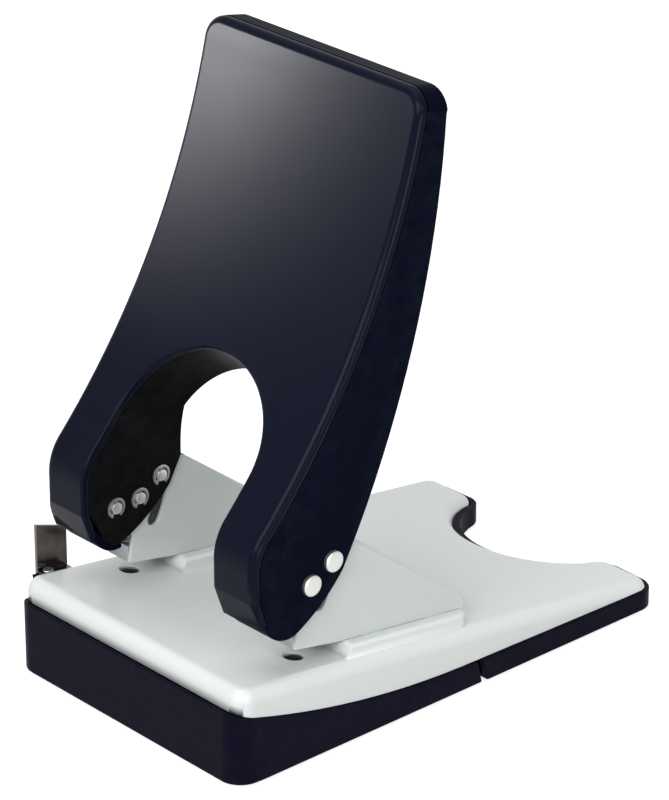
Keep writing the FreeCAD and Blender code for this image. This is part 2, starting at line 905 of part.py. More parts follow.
def arc_slot(name, radius, angle):
    """The path of a pin that the handle carries, cut through both plates of a frame."""
    half = size.pin_radius + size.slot_clearance
    end = angle - size.press_angle
    ends = []
    for tag, direction in (("a", angle), ("b", end)):
        y = pivot_y + radius * cosine(direction)
        z = pivot_z + radius * sine(direction)
        ends.append(rod(name + tag, half, 0, FAR, y, z))
    corners = []
    for reach, direction, turn in (
        (radius - half, angle, 0),
        (radius + half, angle, 0),
        (radius + half, end, -1),
        (radius - half, end, 0),
    ):
        corner = (pivot_y + reach * cosine(direction), pivot_z + reach * sine(direction))
        corners.append(corner if turn == 0 else corner + (reach, turn))
    corners[0] = corners[0] + (radius - half, 1)
    return fuse(name, across(name + "_band", corners, 0, FAR), *ends)


def make_frame():
    blank = across("frame_blank", frame_corners(), frame_low_x, frame_high_x)
    crest_z = above(size.frame_crest_rise).value
    tail_z = tail_top.value
    tail_y = behind(size.frame_tail).value

    def is_tail(edge):
        return all(abs(end.Y - tail_y) < NEAR and abs(end.Z - tail_top.value) < NEAR for end in edge.Vertexes)

    def is_bend(edge):
        low, high = sorted(edge.Vertexes, key=lambda end: end.Z)
        slopes = abs(low.Z - tail_z) < size.frame_tail_round.value and low.Y > high.Y
        return slopes and abs(high.Z - crest_z) < NEAR

    rounded(blank, size.frame_tail_round, is_tail)
    rounded(blank, size.frame_bend, is_bend)
    pivot_hole = rod("frame_pivot_hole", size.pin_radius + size.pin_play, 0, FAR, pivot_y, pivot_z)
    drive = arc_slot("frame_drive_slot", size.drive_radius, size.drive_angle)
    stop = arc_slot("frame_stop_slot", size.stop_radius, size.stop_angle)
    plates = cut("frame_plates", blank, frame_room(), pivot_hole, drive, stop)
    tabs = frame_tabs("frame_tab", 0)
    half = size.tab_width / 2 + 2 * size.tab_play
    for tag, low_x, row in plate_places():
        tabs.append(sloping_band(
            "frame_stake_" + tag, row - half, row + half,
            under_plate, under_plate - size.tab_end, low_x, low_x + size.sheet,
        ))
    both_sides("frame", fuse("frame_right", plates, *tabs))


tip_z = above(size.throat_gap + size.tip_recess)
drive_y, drive_z = pin_place(size.drive_radius, size.drive_angle)
fork_z = drive_z - size.fork_drop
fork_half = size.pin_radius + size.fork_play
fork_low = fork_z - fork_half - size.jaw_thickness
fork_high = fork_z + fork_half + size.jaw_thickness


def make_punch():
    low_x = hole_x - size.punch_head_width / 2
    high_x = hole_x + size.punch_head_width / 2
    fork_back = punch_y + size.punch_radius
    slot_back = drive_y + size.pin_radius + size.fork_play
    corners = [
        (behind(size.punch_head_front), fork_low),
        (fork_back, fork_low),
        (fork_back, fork_high),
        (behind(size.punch_head_front), fork_high),
        (behind(size.punch_head_front), fork_z + fork_half),
        (slot_back, fork_z + fork_half),
        (slot_back, fork_z - fork_half),
        (behind(size.punch_head_front), fork_z - fork_half),
    ]
    fork = across("punch_fork", corners, low_x, high_x)
    shank = post("punch_shank", size.punch_radius, hole_x, punch_y, tip_z, fork_low + PAST)
    hollow = doc.addObject("Part::Cone", "punch_hollow")
    bind(hollow, "Radius1", size.punch_radius - size.punch_lip)
    hollow.Radius2 = 0
    bind(hollow, "Height", size.punch_hollow)
    place(hollow, hole_x, punch_y, tip_z)
    both_sides("punch", cut("punch_right", fuse("punch_body", fork, shank), hollow))


block_low = above(size.throat_gap + 2 * size.tip_recess)
block_high = block_low + size.guide_block_height


def make_guide_block():
    low = (frame_low_x + size.sheet, behind(-size.guide_block_front), block_low)
    high = (frame_high_x - size.sheet, behind(size.guide_block_back), block_high)
    bore = post("block_bore", size.punch_radius + size.running_gap, hole_x, punch_y, 0, 2 * FAR)
    both_sides("punch_guide", cut("punch_guide_right", box("block_blank", low, high), bore))


def make_spring():
    body = doc.addObject("PartDesign::Body", "spring_right")
    sketch = body.newObject("Sketcher::SketchObject", "spring_wire")
    sketch.AttachmentSupport = [(plane_of(body, "XZ_Plane"), "")]
    sketch.MapMode = "FlatFace"
    wire = size.spring_wire_radius
    coil = size.spring_radius
    centre = FreeCAD.Vector(coil.value, wire.value, 0)
    circle = sketch.addGeometry(Part.Circle(centre, FreeCAD.Vector(0, 0, 1), wire.value))
    limits = [
        Sketcher.Constraint("Radius", circle, wire.value),
        Sketcher.Constraint("DistanceX", circle, 3, coil.value),
        Sketcher.Constraint("DistanceY", circle, 3, wire.value),
    ]
    for number, value in zip(sketch.addConstraint(limits), (wire, coil, wire)):
        sketch.setExpression("Constraints[%d]" % number, value.text)
    low = block_high + size.spring_seat
    height = fork_low - size.spring_seat - low - 2 * wire
    helix = body.newObject("PartDesign::AdditiveHelix", "spring_coil")
    helix.Profile = sketch
    helix.ReferenceAxis = (sketch, ["V_Axis"])
    helix.Mode = "height-turns-angle"
    bind(helix, "Height", height)
    bind(helix, "Turns", size.spring_turns)
    body.Tip = helix
    place(body, hole_x, punch_y, low)
    both_sides("spring", body)


# ---- pins

ring_high_x = arm_inner - size.ring_gap
ring_low_x = ring_high_x - size.ring_thickness


def pin(name, head_low, head_high, y, z):
    """A headed pin along X with a groove for its ring near the inner end."""
    groove_low = ring_low_x - size.ring_play
    groove_high = ring_high_x + size.ring_play
    shank = rod(name + "_shank", size.pin_radius, arm_inner - size.pin_reach, head_low, y, z)
    head = rod(name + "_head", size.pin_head_radius, head_low, head_high, y, z)
    band = rod(name + "_band", size.pin_radius + PAST, groove_low, groove_high, y, z)
    core = rod(name + "_core", size.groove_radius, groove_low, groove_high, y, z)
    return cut(name, fuse(name + "_blank", shank, head), cut(name + "_groove", band, core))


def e_ring(name, y, z):
    """A ring clipped into a pin's groove, open on its lower side."""
    disc = rod(name + "_disc", size.ring_radius, ring_low_x, ring_high_x, y, z)
    hole = rod(name + "_hole", size.groove_radius + size.ring_play, ring_low_x - PAST, ring_high_x + PAST, y, z)
    low = (ring_low_x - PAST, y - size.groove_radius, z - 2 * size.ring_radius)
    mouth = box(name + "_mouth", low, (ring_high_x + PAST, y + size.groove_radius, z))
    return cut(name, disc, hole, mouth)


stop_y, stop_z = pin_place(size.stop_radius, size.stop_angle)
pins = (("pivot_pin", pivot_y, pivot_z), ("drive_pin", drive_y, drive_z), ("stop_pin", stop_y, stop_z))


def make_pins():
    rings = []
    for stem, y, z in pins:
        if stem == "pivot_pin":
            head_low = cheek_high_x
            head_high = cheek_high_x + size.hidden_head_height
        else:
            head_low = half_handle
            head_high = half_handle + size.pin_head_height
        both_sides(stem, pin(stem + "_right", head_low, head_high, y, z))
        ring = e_ring(stem + "_ring", y, z)
        rings.append(ring)
        rings.append(mirrored(stem + "_ring_left", ring))
    node("e_rings", group("e_rings", *rings))


# ---- handle

def on_front_curve(rise, inset):
    radius = size.front_radius + inset
    height = size_of(rise) - size.front_centre_rise
    return behind(-size.front_centre_setback + root(radius * radius - height * height))


def on_back_curve(rise, inset):
    radius = size.back_radius - inset
    height = size_of(rise) - size.back_centre_rise
    return behind(-size.back_centre_setback + root(radius * radius - height * height))


def on_nose(angle, inset):
    radius = size.nose_radius - inset
    y = behind(-size.nose_centre_setback + radius * cosine(angle))
    return y, above(size.nose_centre_rise + radius * sine(angle))


def handle_profile(front=0, back=0, nose=0, top=0):
    """Side view of the handle with its front, back, nose and top edges moved inwards."""
    front = size_of(front)
    back = size_of(back)
    nose = size_of(nose)
    nose_front = on_nose(size.nose_front_angle, nose)
    nose_back = on_nose(size.nose_back_angle, nose)
    top_front = size.handle_top_front - top
    top_back = size.handle_top_back - top
    return [
        nose_front + (size.nose_radius - nose, -1),
        (behind(size.cheek_front + front), above(size.cheek_low)),
        (behind(size.cheek_front + front), above(size.cheek_high)),
        (on_front_curve(size.brow_high, front), above(size.brow_high), size.brow_radius - front, -1),
        (on_front_curve(top_front, front), above(top_front), size.front_radius + front, 1),
        (on_back_curve(top_back, back), above(top_back)),
        (on_back_curve(size.cheek_low, back), above(size.cheek_low), size.back_radius - back, -1),
        nose_back + (size.heel_radius, -1),
    ]


def top_corners_rounded(body, radius, half_width):
    """Rounds the two corners of the handle's free end."""
    side = size_of(half_width).value
    crest = above(size.handle_top_back).value - 2 * size.handle_corner_radius.value

    def chosen(edge):
        ends = edge.Vertexes
        return len(ends) == 2 and all(v.Z > crest and abs(abs(v.X) - side) < NEAR for v in ends) and (
            abs(ends[0].X - ends[1].X) < NEAR and edge.Curve.TypeId == "Part::GeomLine"
        )

    return rounded(body, radius, chosen)


def arch_cutter(name, radius):
    """A tunnel with a round top, square to the handle's front, that leaves the two arms."""
    body = doc.addObject("PartDesign::Body", name)
    pad = body.newObject("PartDesign::Pad", name + "_pad")
    corners = [
        (radius, -2 * FAR),
        (radius, 0),
        (0, radius, radius, 1),
        (-radius, 0, radius, 1),
        (-radius, -2 * FAR),
    ]
    pad.Profile = outline(body, "XY_Plane", corners, -2 * FAR)
    pad.Length = 4 * FAR
    body.Tip = pad
    body.Placement = FreeCAD.Placement(FreeCAD.Vector(), FreeCAD.Rotation(FreeCAD.Vector(1, 0, 0), 1))
    bind(body, "Placement.Rotation.Angle", size.arch_tilt)
    place(body, 0, behind(-size.arch_setback), above(size.arch_rise))
    doc.recompute()
    return body


def pin_holes(stem, radius, low, high):
    holes = []
    for name, y, z in pins:
        hole = rod("%s_%s_hole" % (stem, name), radius, low, high, y, z)
        holes.append(hole)
        holes.append(mirrored("%s_%s_hole_left" % (stem, name), hole))
    return holes


screw_rises = (("low", size.handle_screw_low_rise), ("high", size.handle_screw_high_rise))
handle_screw_places = grid(screw_rises, size.handle_screw_half_spread)


def handle_screw_rod(name, radius, x, rise, low, high):
    """A cylinder square to the handle's front curve at a rise, from low behind to high in front."""
    tilt = arcsine((rise - size.front_centre_rise) / size.front_radius)
    cylinder = doc.addObject("Part::Cylinder", name)
    bind(cylinder, "Radius", radius)
    bind(cylinder, "Height", size_of(high) - size_of(low))
    turn = FreeCAD.Rotation(FreeCAD.Vector(1, 0, 0), 90 + tilt.value)
    cylinder.Placement = FreeCAD.Placement(FreeCAD.Vector(), turn)
    bind(cylinder, "Placement.Rotation.Angle", 90 + tilt)
    y = on_front_curve(rise, 0) - size_of(low) * cosine(tilt)
    z = above(rise) - size_of(low) * sine(tilt)
    return place(cylinder, x, y, z)


def handle_screw_holes(stem, low, high):
    radius = size.screw_radius + size.thread_play
    return [
        handle_screw_rod("%s_screw_hole_%s" % (stem, tag), radius, x, rise, low, high)
        for tag, x, rise in handle_screw_places
    ]


def make_handle_shell():
    blank = across("shell_blank", handle_profile(front=size.groove_gap), -half_handle, half_handle)
    top_corners_rounded(blank, size.handle_corner_radius, half_handle)
    reach = -size.open_reach
    open_profile = handle_profile(reach, reach, size.shell_nose_wall, size.shell_end_wall)
    floor = above(size.nose_centre_rise) - 3 * size.nose_radius
    back_y = open_profile[-2][0]
    heel = open_profile.pop()[:2]
    open_profile += [(back_y, floor), (heel[0], floor), heel]
    room = across("shell_room", open_profile, -cheek_high_x, cheek_high_x)
    top_corners_rounded(room, size.handle_corner_radius - size.shell_end_wall, cheek_high_x)
    arch = arch_cutter("shell_arch", arm_inner + size.cheek_sheet)
    holes = pin_holes("shell", size.pin_radius + size.running_gap, cheek_high_x - PAST, FAR)
    room_high = cheek_high_x + size.hidden_head_height + size.panel_gap
    room_radius = size.pin_head_radius + size.hole_gap
    head_room = rod("shell_head_room", room_radius, cheek_high_x - PAST, room_high, pivot_y, pivot_z)
    plug = rod("shell_plug", size.pin_radius + PAST, room_high, half_handle, pivot_y, pivot_z)
    room_left = mirrored("shell_head_room_left", head_room)
    plug_left = mirrored("shell_plug_left", plug)
    drilled = cut("shell_drilled", blank, room, arch, room_left, head_room, *holes)
    node("handle_shell", fuse("handle_shell", drilled, plug, plug_left))


def make_handle_frame():
    half_width = cheek_high_x
    end_gap = size.shell_end_wall + size.shell_end_gap
    nose_gap = size.shell_nose_wall + size.panel_gap
    blank_profile = handle_profile(size.panel_gap, size.frame_back_step, nose_gap, end_gap)
    blank = across("handle_steel_blank", blank_profile, -half_width, half_width)
    top_corners_rounded(blank, size.handle_corner_radius - size.shell_end_wall, half_width)
    inside = size.panel_gap + size.web_sheet
    room_profile = handle_profile(inside, -size.open_reach, -size.nose_reach, end_gap + size.web_sheet)
    inner_half = half_width - size.cheek_sheet
    room = across("handle_steel_room", room_profile, -inner_half, inner_half)
    top_corners_rounded(room, size.handle_corner_radius - size.shell_end_wall - size.web_sheet, inner_half)
    arch_wall = arch_cutter("handle_arch_wall", arm_inner + size.cheek_sheet)
    arch = arch_cutter("handle_arch", arm_inner)
    knee = above(size.arch_wall_knee)
    trim_corners = [
        (behind(size.arch_wall_depth), above(0)),
        (behind(4 * FAR), above(0)),
        (behind(4 * FAR), above(4 * FAR)),
        (behind(size.arch_wall_depth + size.arch_wall_run), above(4 * FAR)),
        (behind(size.arch_wall_depth + size.arch_wall_run), knee + size.arch_wall_climb),
        (behind(size.arch_wall_depth), knee),
    ]
    trim_half = arm_inner + size.cheek_sheet
    trim = across("handle_arch_trim", trim_corners, -trim_half, trim_half)
    trim_wall = common("handle_arch_trim_wall", trim, arch_wall)
    holes = pin_holes("handle", size.pin_radius + size.running_gap, arm_inner - PAST, half_width + PAST)
    holes += handle_screw_holes("handle", -2 * size.web_sheet, 2 * size.web_sheet)
    hollow = cut("handle_room", room, arch_wall)
    node("handle_frame", cut("handle_frame", blank, hollow, arch, trim_wall, *holes))


def make_handle_screws():
    screws = []
    seat = -size.web_sheet - size.panel_gap
    tip = size.cover_thickness - size.screw_skin - size.screw_tip_gap
    head = seat - size.screw_head_height
    for tag, x, rise in handle_screw_places:
        shank = handle_screw_rod("handle_screw_shank_" + tag, size.screw_radius, x, rise, seat, tip)
        cap = handle_screw_rod("handle_screw_head_" + tag, size.screw_head_radius, x, rise, head, seat)
        screws.append(fuse("handle_screw_" + tag, shank, cap))
    node("handle_screws", group("handle_screws", *screws))


def make_handle_cover():
    proud = size.cover_thickness
    crown = size.handle_top_front + size.cover_crown
    brow = size.brow_high + size.cover_brow_step
    nose = on_nose(size.nose_front_angle, 0)
    corners = [
        nose,
        (behind(-size.cover_lip_setback), above(size.cover_lip_rise)),
        (behind(size.cheek_front) - proud, above(size.cheek_low)),
        (behind(size.cheek_front) - proud, above(size.cheek_high)),
        (on_front_curve(brow, -proud), above(brow), size.brow_radius + proud, -1),
        (on_front_curve(crown, -proud), above(crown), size.front_radius - proud, 1),
        (on_front_curve(size.handle_top_front, 0), above(size.handle_top_front)),
        (on_front_curve(size.brow_high, 0), above(size.brow_high), size.front_radius, -1),
        (behind(size.cheek_front), above(size.cheek_high), size.brow_radius, 1),
        (behind(size.cheek_front), above(size.cheek_low)),
    ]
    body = across("cover_panel", corners, -half_handle, half_handle)
    top_corners_rounded(body, size.handle_corner_radius, half_handle)

    def at_front(edge):
        for end in edge.Vertexes:
            y = end.Y - punch_y.value
            z = end.Z - size.table_height.value
            reach = math.hypot(y + size.front_centre_setback.value, z - size.front_centre_rise.value)
            on_curve = abs(reach - (size.front_radius - proud).value) < NEAR
            on_flat = abs(y - (size.cheek_front - proud).value) < NEAR
            if not on_curve and not on_flat:
                return False
        return True

    rounded(body, size.cover_edge_round, at_front)
    arch = arch_cutter("cover_arch", arm_inner - size.arch_lip)
    holes = handle_screw_holes("cover", -PAST, proud - size.screw_skin)
    node("handle_cover", cut("handle_cover", body, arch, *holes))


# ---- paper guide

guide_rivet_x = -guide_reach + size.guide_sheet + size.guide_rivet_inset
guide_rivet_row = size.guide_front + (size.knob_length - size.knob_lead) / 2


def guide_rivet_hole(stem):
    radius = size.guide_rivet_radius + size.running_gap
    return post(stem + "_rivet_hole", radius, guide_rivet_x, behind(guide_rivet_row), 0, 2 * FAR)


def make_guide_bar():
    strip = sloping_band(
        "guide_strip", size.guide_front, guide_back, -size.guide_drop, guide_low,
        -guide_reach, -guide_reach + size.guide_length,
    )
    corners = [
        (behind(size.guide_front), table(size.guide_front, guide_low)),
        (behind(guide_back), table(guide_back, guide_low)),
        (behind(guide_back), above(size.flag_back_rise)),
        (behind(size.guide_front), above(size.flag_front_rise)),
    ]
    flag = across("guide_flag", corners, -guide_reach, -guide_reach + size.guide_sheet)
    hole = guide_rivet_hole("bar")
    node("guide_bar", cut("guide_bar", fuse("guide_body", strip, flag), hole))


def make_guide_knob():
    front = size.guide_front - size.knob_lead
    back = front + size.knob_length
    bottom = table(front, guide_low - size.knob_height)
    corners = [
        (behind(front), table(front, guide_low)),
        (behind(size.guide_front), bottom),
        (behind(back - size.knob_taper), bottom),
        (behind(back), table(back, guide_low)),
    ]
    knob = across("guide_knob_block", corners, -guide_reach, -guide_reach + size.knob_width)
    hole = guide_rivet_hole("knob")
    node("guide_knob", cut("guide_knob", knob, hole))
    low = table(guide_rivet_row, guide_low) - size.knob_height / 2
    high = table(guide_rivet_row, -size.guide_drop) + table_slope * size.guide_rivet_head_radius
    y = behind(guide_rivet_row)
    top = high + size.guide_rivet_head_height
    shank = post("guide_rivet_shank", size.guide_rivet_radius, guide_rivet_x, y, low, high)
    head = post("guide_rivet_head", size.guide_rivet_head_radius, guide_rivet_x, y, high, top)
    node("guide_rivet", fuse("guide_rivet", shank, head))


def make_guide_track():
    low_x = -plate_half_width
    high_x = -guide_reach + size.guide_length + size.guide_end_room + size.track_rail
    rail = size.track_rail
    front = size.guide_front - size.guide_play
    back = guide_back + size.guide_play
    blank = sloping_band(
        "track_blank", front - rail, back + rail, -size.cover_skin, -size.plate_drop, low_x, high_x,
    )
    room = sloping_band("track_room", front, back, 0, -2 * size.plate_drop, low_x - PAST, high_x - rail)
    node("guide_track", cut("guide_track", blank, room))


# ---- the whole punch

make_chip_tray()
make_rear_base()
make_base_screws()
make_base_plate()
make_base_cover()
make_die()
make_frame()
make_punch()
make_guide_block()
make_spring()
make_pins()
make_handle_shell()
make_handle_frame()
make_handle_screws()
make_handle_cover()
make_guide_bar()
make_guide_knob()
make_guide_track()
doc.recompute()

faults = [o.Name for o in doc.Objects if "Invalid" in o.State or "Error" in o.State]
for feature in nodes:
    if feature.Shape.isNull() or not feature.Shape.isValid():
        faults.append(feature.Label)
if faults:
    raise RuntimeError("these did not build: " + ", ".join(faults))
for feature in nodes:
    feature.Shape.exportStep("parts/%s.step" % feature.Label)
    print(feature.Label, len(feature.Shape.Solids), round(feature.Shape.Volume, 1))
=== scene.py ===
import math

import bmesh
import bpy
from mathutils import Matrix, Vector


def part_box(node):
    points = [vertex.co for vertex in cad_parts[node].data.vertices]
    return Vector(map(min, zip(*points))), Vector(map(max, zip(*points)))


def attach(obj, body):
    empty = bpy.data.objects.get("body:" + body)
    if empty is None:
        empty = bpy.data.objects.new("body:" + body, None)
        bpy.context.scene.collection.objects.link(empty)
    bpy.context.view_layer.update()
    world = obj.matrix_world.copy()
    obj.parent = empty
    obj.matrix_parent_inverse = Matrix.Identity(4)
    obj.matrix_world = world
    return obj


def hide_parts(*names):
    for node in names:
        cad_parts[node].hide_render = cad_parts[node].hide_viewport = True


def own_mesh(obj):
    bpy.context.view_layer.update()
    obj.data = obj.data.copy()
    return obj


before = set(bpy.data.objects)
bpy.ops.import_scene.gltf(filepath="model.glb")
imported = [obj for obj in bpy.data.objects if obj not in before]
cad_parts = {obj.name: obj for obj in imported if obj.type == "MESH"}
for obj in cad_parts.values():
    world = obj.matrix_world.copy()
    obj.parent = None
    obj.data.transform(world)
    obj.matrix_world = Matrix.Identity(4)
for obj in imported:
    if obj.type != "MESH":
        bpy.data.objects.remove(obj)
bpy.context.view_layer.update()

# ==== Chip tray
# The front half of the base: a deep box of dark moulded plastic, open at the top, that slides
# out forwards to be emptied. Its outside has a fine spark-eroded grain.


def add(tree, kind, inputs=None, **settings):
    """A new node with its settings and its plain input values."""
    made = tree.nodes.new(kind)
    for name, setting in settings.items():
        setattr(made, name, setting)
    for socket, value in (inputs or {}).items():
        made.inputs[socket].default_value = value
    return made


def value_input(tree, name, default):
    """A named input of a group: a number, or a vector where its default is one."""
    kind = "NodeSocketVector" if isinstance(default, tuple) else "NodeSocketFloat"
    socket = tree.interface.new_socket(name, in_out="INPUT", socket_type=kind)
    socket.default_value = default
    return socket.identifier


def effect_group(name, inputs, outputs):
    """An empty effect for materials to share, with its named inputs and outputs."""
    group = bpy.data.node_groups.new(name, "ShaderNodeTree")
    for label, default in inputs.items():
        value_input(group, label, default)
    for label in outputs:
        group.interface.new_socket(label, in_out="OUTPUT", socket_type="NodeSocketFloat")
    return group, add(group, "NodeGroupInput"), add(group, "NodeGroupOutput")


def maths(tree, operation, first, second, clamp=False):
    """One sum on two values, each a plain number or another node's output."""
    made = add(tree, "ShaderNodeMath", operation=operation, use_clamp=clamp)
    for value, socket in zip((first, second), made.inputs):
        if isinstance(value, bpy.types.NodeSocket):
            tree.links.new(value, socket)
        else:
            socket.default_value = value
    return made.outputs[0]


def pattern(tree, kind, inputs, **settings):
    """A texture on the piece's own coordinates."""
    made = add(tree, kind, inputs, **settings)
    tree.links.new(add(tree, "ShaderNodeTexCoord").outputs["Object"], made.inputs["Vector"])
    return made


def grain_group():
    """Moulded grain: fine pebbles with a slower unevenness of the surface under them."""
    group, inside, outside = effect_group(
        "moulded_grain", {"Pebble Scale": 2600.0, "Pebble Share": 0.7, "Waviness": 0.25}, ["Height", "Mask"],
    )
    speckle_share = 0.3
    mask_gain = 2.0
    pebbles = pattern(group, "ShaderNodeTexVoronoi", {"Smoothness": 0.6}, feature="SMOOTH_F1")
    speckle = pattern(group, "ShaderNodeTexNoise", {"Scale": 900.0, "Detail": 3.0, "Roughness": 0.6})
    waves = pattern(group, "ShaderNodeTexNoise", {"Scale": 45.0, "Detail": 2.0})
    group.links.new(inside.outputs["Pebble Scale"], pebbles.inputs["Scale"])
    bumps = maths(group, "MULTIPLY", pebbles.outputs["Distance"], inside.outputs["Pebble Share"])
    fine = maths(group, "ADD", bumps, maths(group, "MULTIPLY", speckle.outputs["Fac"], speckle_share))
    slow = maths(group, "MULTIPLY", waves.outputs["Fac"], inside.outputs["Waviness"])
    group.links.new(maths(group, "ADD", fine, slow), outside.inputs["Height"])
    mixed = maths(group, "MULTIPLY", speckle.outputs["Fac"], waves.outputs["Fac"])
    group.links.new(maths(group, "MULTIPLY", mixed, mask_gain, clamp=True), outside.inputs["Mask"])
    return group


def edge_group():
    """Rubbed edges: the rounded rims of a piece, broken up where fingers have not polished them. On the navy
    handle the lighter rims are also partly a painted highlight.
    """
    group, inside, outside = effect_group("rubbed_edge_and_highlight", {"Amount": 0.5, "Patch Scale": 160.0}, ["Mask"])
    rim = add(group, "ShaderNodeAttribute", attribute_name="rim")
    patches = pattern(group, "ShaderNodeTexNoise", {"Detail": 4.0, "Roughness": 0.65})
    group.links.new(inside.outputs["Patch Scale"], patches.inputs["Scale"])
    spread = add(group, "ShaderNodeMapRange", {"From Min": 0.35, "From Max": 0.65})
    group.links.new(patches.outputs["Fac"], spread.inputs["Value"])
    rubbed = maths(group, "MULTIPLY", rim.outputs["Fac"], spread.outputs["Result"])
    group.links.new(maths(group, "MULTIPLY", rubbed, inside.outputs["Amount"]), outside.inputs["Mask"])
    return group


def dust_group():
    """A trace of paper dust that settles on faces that look up."""
    group, inside, outside = effect_group("paper_dust", {"Amount": 0.05}, ["Mask"])
    split = add(group, "ShaderNodeSeparateXYZ")
    group.links.new(add(group, "ShaderNodeNewGeometry").outputs["Normal"], split.inputs["Vector"])
    flecks = pattern(group, "ShaderNodeTexNoise", {"Scale": 420.0, "Detail": 6.0, "Roughness": 0.75})
    upward = maths(group, "MULTIPLY", split.outputs["Z"], flecks.outputs["Fac"], clamp=True)
    group.links.new(maths(group, "MULTIPLY", upward, inside.outputs["Amount"]), outside.inputs["Mask"])
    return group


MOULDED_GRAIN = grain_group()
RUBBED_EDGE_AND_HIGHLIGHT = edge_group()
PAPER_DUST = dust_group()
DUST_COLOUR = (0.6, 0.6, 0.58)

# A mix node has sockets for each kind of value. These are its factor and its colours.
MIX_FACTOR, MIX_BASE, MIX_TINT, MIX_RESULT = 0, 6, 7, 2


def group_node(tree, group, **values):
    """A shared effect placed in a material, with its inputs' names written with underscores."""
    made = add(tree, "ShaderNodeGroup", node_tree=group)
    for name, value in values.items():
        made.inputs[name.replace("_", " ")].default_value = value
    return made


def tinted(tree, base, tint, mask):
    """A colour that turns from the base to the tint by a mask."""
    made = add(tree, "ShaderNodeMix", data_type="RGBA")
    for value, socket in ((base, made.inputs[MIX_BASE]), (tint, made.inputs[MIX_TINT])):
        if isinstance(value, bpy.types.NodeSocket):
            tree.links.new(value, socket)
        else:
            socket.default_value = (*value, 1.0)
    tree.links.new(mask, made.inputs[MIX_FACTOR])
    return made.outputs[MIX_RESULT]


def ranged(tree, mask, low, high):
    """A mask stretched to run from low to high."""
    made = add(tree, "ShaderNodeMapRange", {"To Min": low, "To Max": high})
    tree.links.new(mask, made.inputs["Value"])
    return made.outputs["Result"]


def new_material(name, **values):
    """A node material, with plain values on its shader's sockets."""
    material = bpy.data.materials.new(name)
    material.use_nodes = True
    tree = material.node_tree
    shader = tree.nodes["Principled BSDF"]
    for socket, value in values.items():
        shader.inputs[socket.replace("_", " ")].default_value = value
    return material, tree, shader


def relief(tree, shader, height, strength, depth):
    """Bumps in the surface, as deep as depth in metres."""
    bump = add(tree, "ShaderNodeBump", {"Strength": strength, "Distance": depth})
    tree.links.new(height, bump.inputs["Height"])
    tree.links.new(bump.outputs["Normal"], shader.inputs["Normal"])


def finish_material(name, colour, rim_colour, rough, grain, bump, dust=0.003, wear=0.5, coat=0.0,
                    coat_rough=0.1, specular=0.5, shade=0.12):
    """A moulded, painted or cast finish: its colour drifts a little and its rims are rubbed. On the navy
    handle the lighter rims are partly a painted highlight.
    """
    rim_polish = 0.12
    material, tree, shader = new_material(
        name, Coat_Weight=coat, Coat_Roughness=coat_rough, Specular_IOR_Level=specular,
    )
    scale, share, waviness = grain
    texture = group_node(tree, MOULDED_GRAIN, Pebble_Scale=scale, Pebble_Share=share, Waviness=waviness)
    rim = group_node(tree, RUBBED_EDGE_AND_HIGHLIGHT, Amount=wear)
    dusty = group_node(tree, PAPER_DUST, Amount=dust)
    darker = tuple(channel * (1.0 - shade) for channel in colour)
    body = tinted(tree, darker, colour, texture.outputs["Mask"])
    # The rims take the rim colour: wear, and on the navy handle partly a painted highlight.
    rims_worn_and_highlit = tinted(tree, body, rim_colour, rim.outputs["Mask"])
    tree.links.new(tinted(tree, rims_worn_and_highlit, DUST_COLOUR, dusty.outputs["Mask"]), shader.inputs["Base Color"])
    base_rough = ranged(tree, texture.outputs["Mask"], *rough)
    polished = maths(tree, "MULTIPLY", rim.outputs["Mask"], rim_polish)
    tree.links.new(maths(tree, "SUBTRACT", base_rough, polished, clamp=True), shader.inputs["Roughness"])
    relief(tree, shader, texture.outputs["Height"], strength=bump, depth=0.0002)
    return material


def merged_copy(node, flat=0.4):
    """A node's surface as one closed mesh, its faces joined where they turn by under flat degrees."""
    same_place = 2e-6
    shape = bmesh.new()
    shape.from_mesh(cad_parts[node].data)
    bmesh.ops.remove_doubles(shape, verts=shape.verts, dist=same_place)
    bmesh.ops.dissolve_degenerate(shape, dist=same_place, edges=shape.edges)
    bmesh.ops.dissolve_limit(
        shape, angle_limit=math.radians(flat), verts=shape.verts, edges=shape.edges,
        use_dissolve_boundaries=False,
    )
    return shape


def rim_rounded(shape, radius, steps, corner=32.0, chosen=None):
    """Rounds the edges sharper than corner degrees, or those chosen among them.

    The rounded faces are marked, because that is where a piece gets rubbed.
    """
    rim = shape.faces.layers.float.new("rim_face")
    sharp = []
    for edge in shape.edges:
        if len(edge.link_faces) == 2 and edge.calc_face_angle(0.0) > math.radians(corner):
            if chosen is None or chosen(edge):
                sharp.append(edge)
    made = bmesh.ops.bevel(
        shape, geom=sharp, offset=radius, offset_type="OFFSET", segments=steps, profile=0.5, affect="EDGES",
        clamp_overlap=False, loop_slide=True,
    )
    for face in made["faces"]:
        face[rim] = 1.0
    return shape


def finished(shape, name, material, body, nodes, smooth=40.0):
    """The finished piece: smooth shading, its material, and the body that it rides on."""
    mesh = bpy.data.meshes.new(name)
    rim = shape.faces.layers.float.get("rim_face")
    points = shape.verts.layers.float.new("rim")
    if rim:
        for face in shape.faces:
            if face[rim]:
                for vertex in face.verts:
                    vertex[points] = 1.0
        shape.faces.layers.float.remove(rim)
    shape.to_mesh(mesh)
    shape.free()
    mesh.materials.clear()
    mesh.materials.append(material)
    mesh.shade_smooth()
    mesh.set_sharp_from_angle(angle=math.radians(smooth))
    piece = bpy.data.objects.new(name, mesh)
    bpy.context.scene.collection.objects.link(piece)
    weights = piece.modifiers.new("flat_faces_lead", "WEIGHTED_NORMAL")
    weights.keep_sharp = True
    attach(piece, body)
    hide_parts(*nodes)
    return piece


def eased(name, node, material, body, radius, steps=2, corner=32.0, chosen=None, flat=0.4):
    """A piece with its node's shape, its edges softened as moulding, painting or deburring leaves them."""
    shape = rim_rounded(merged_copy(node, flat), radius, steps, corner, chosen)
    return finished(shape, name, material, body, [node])


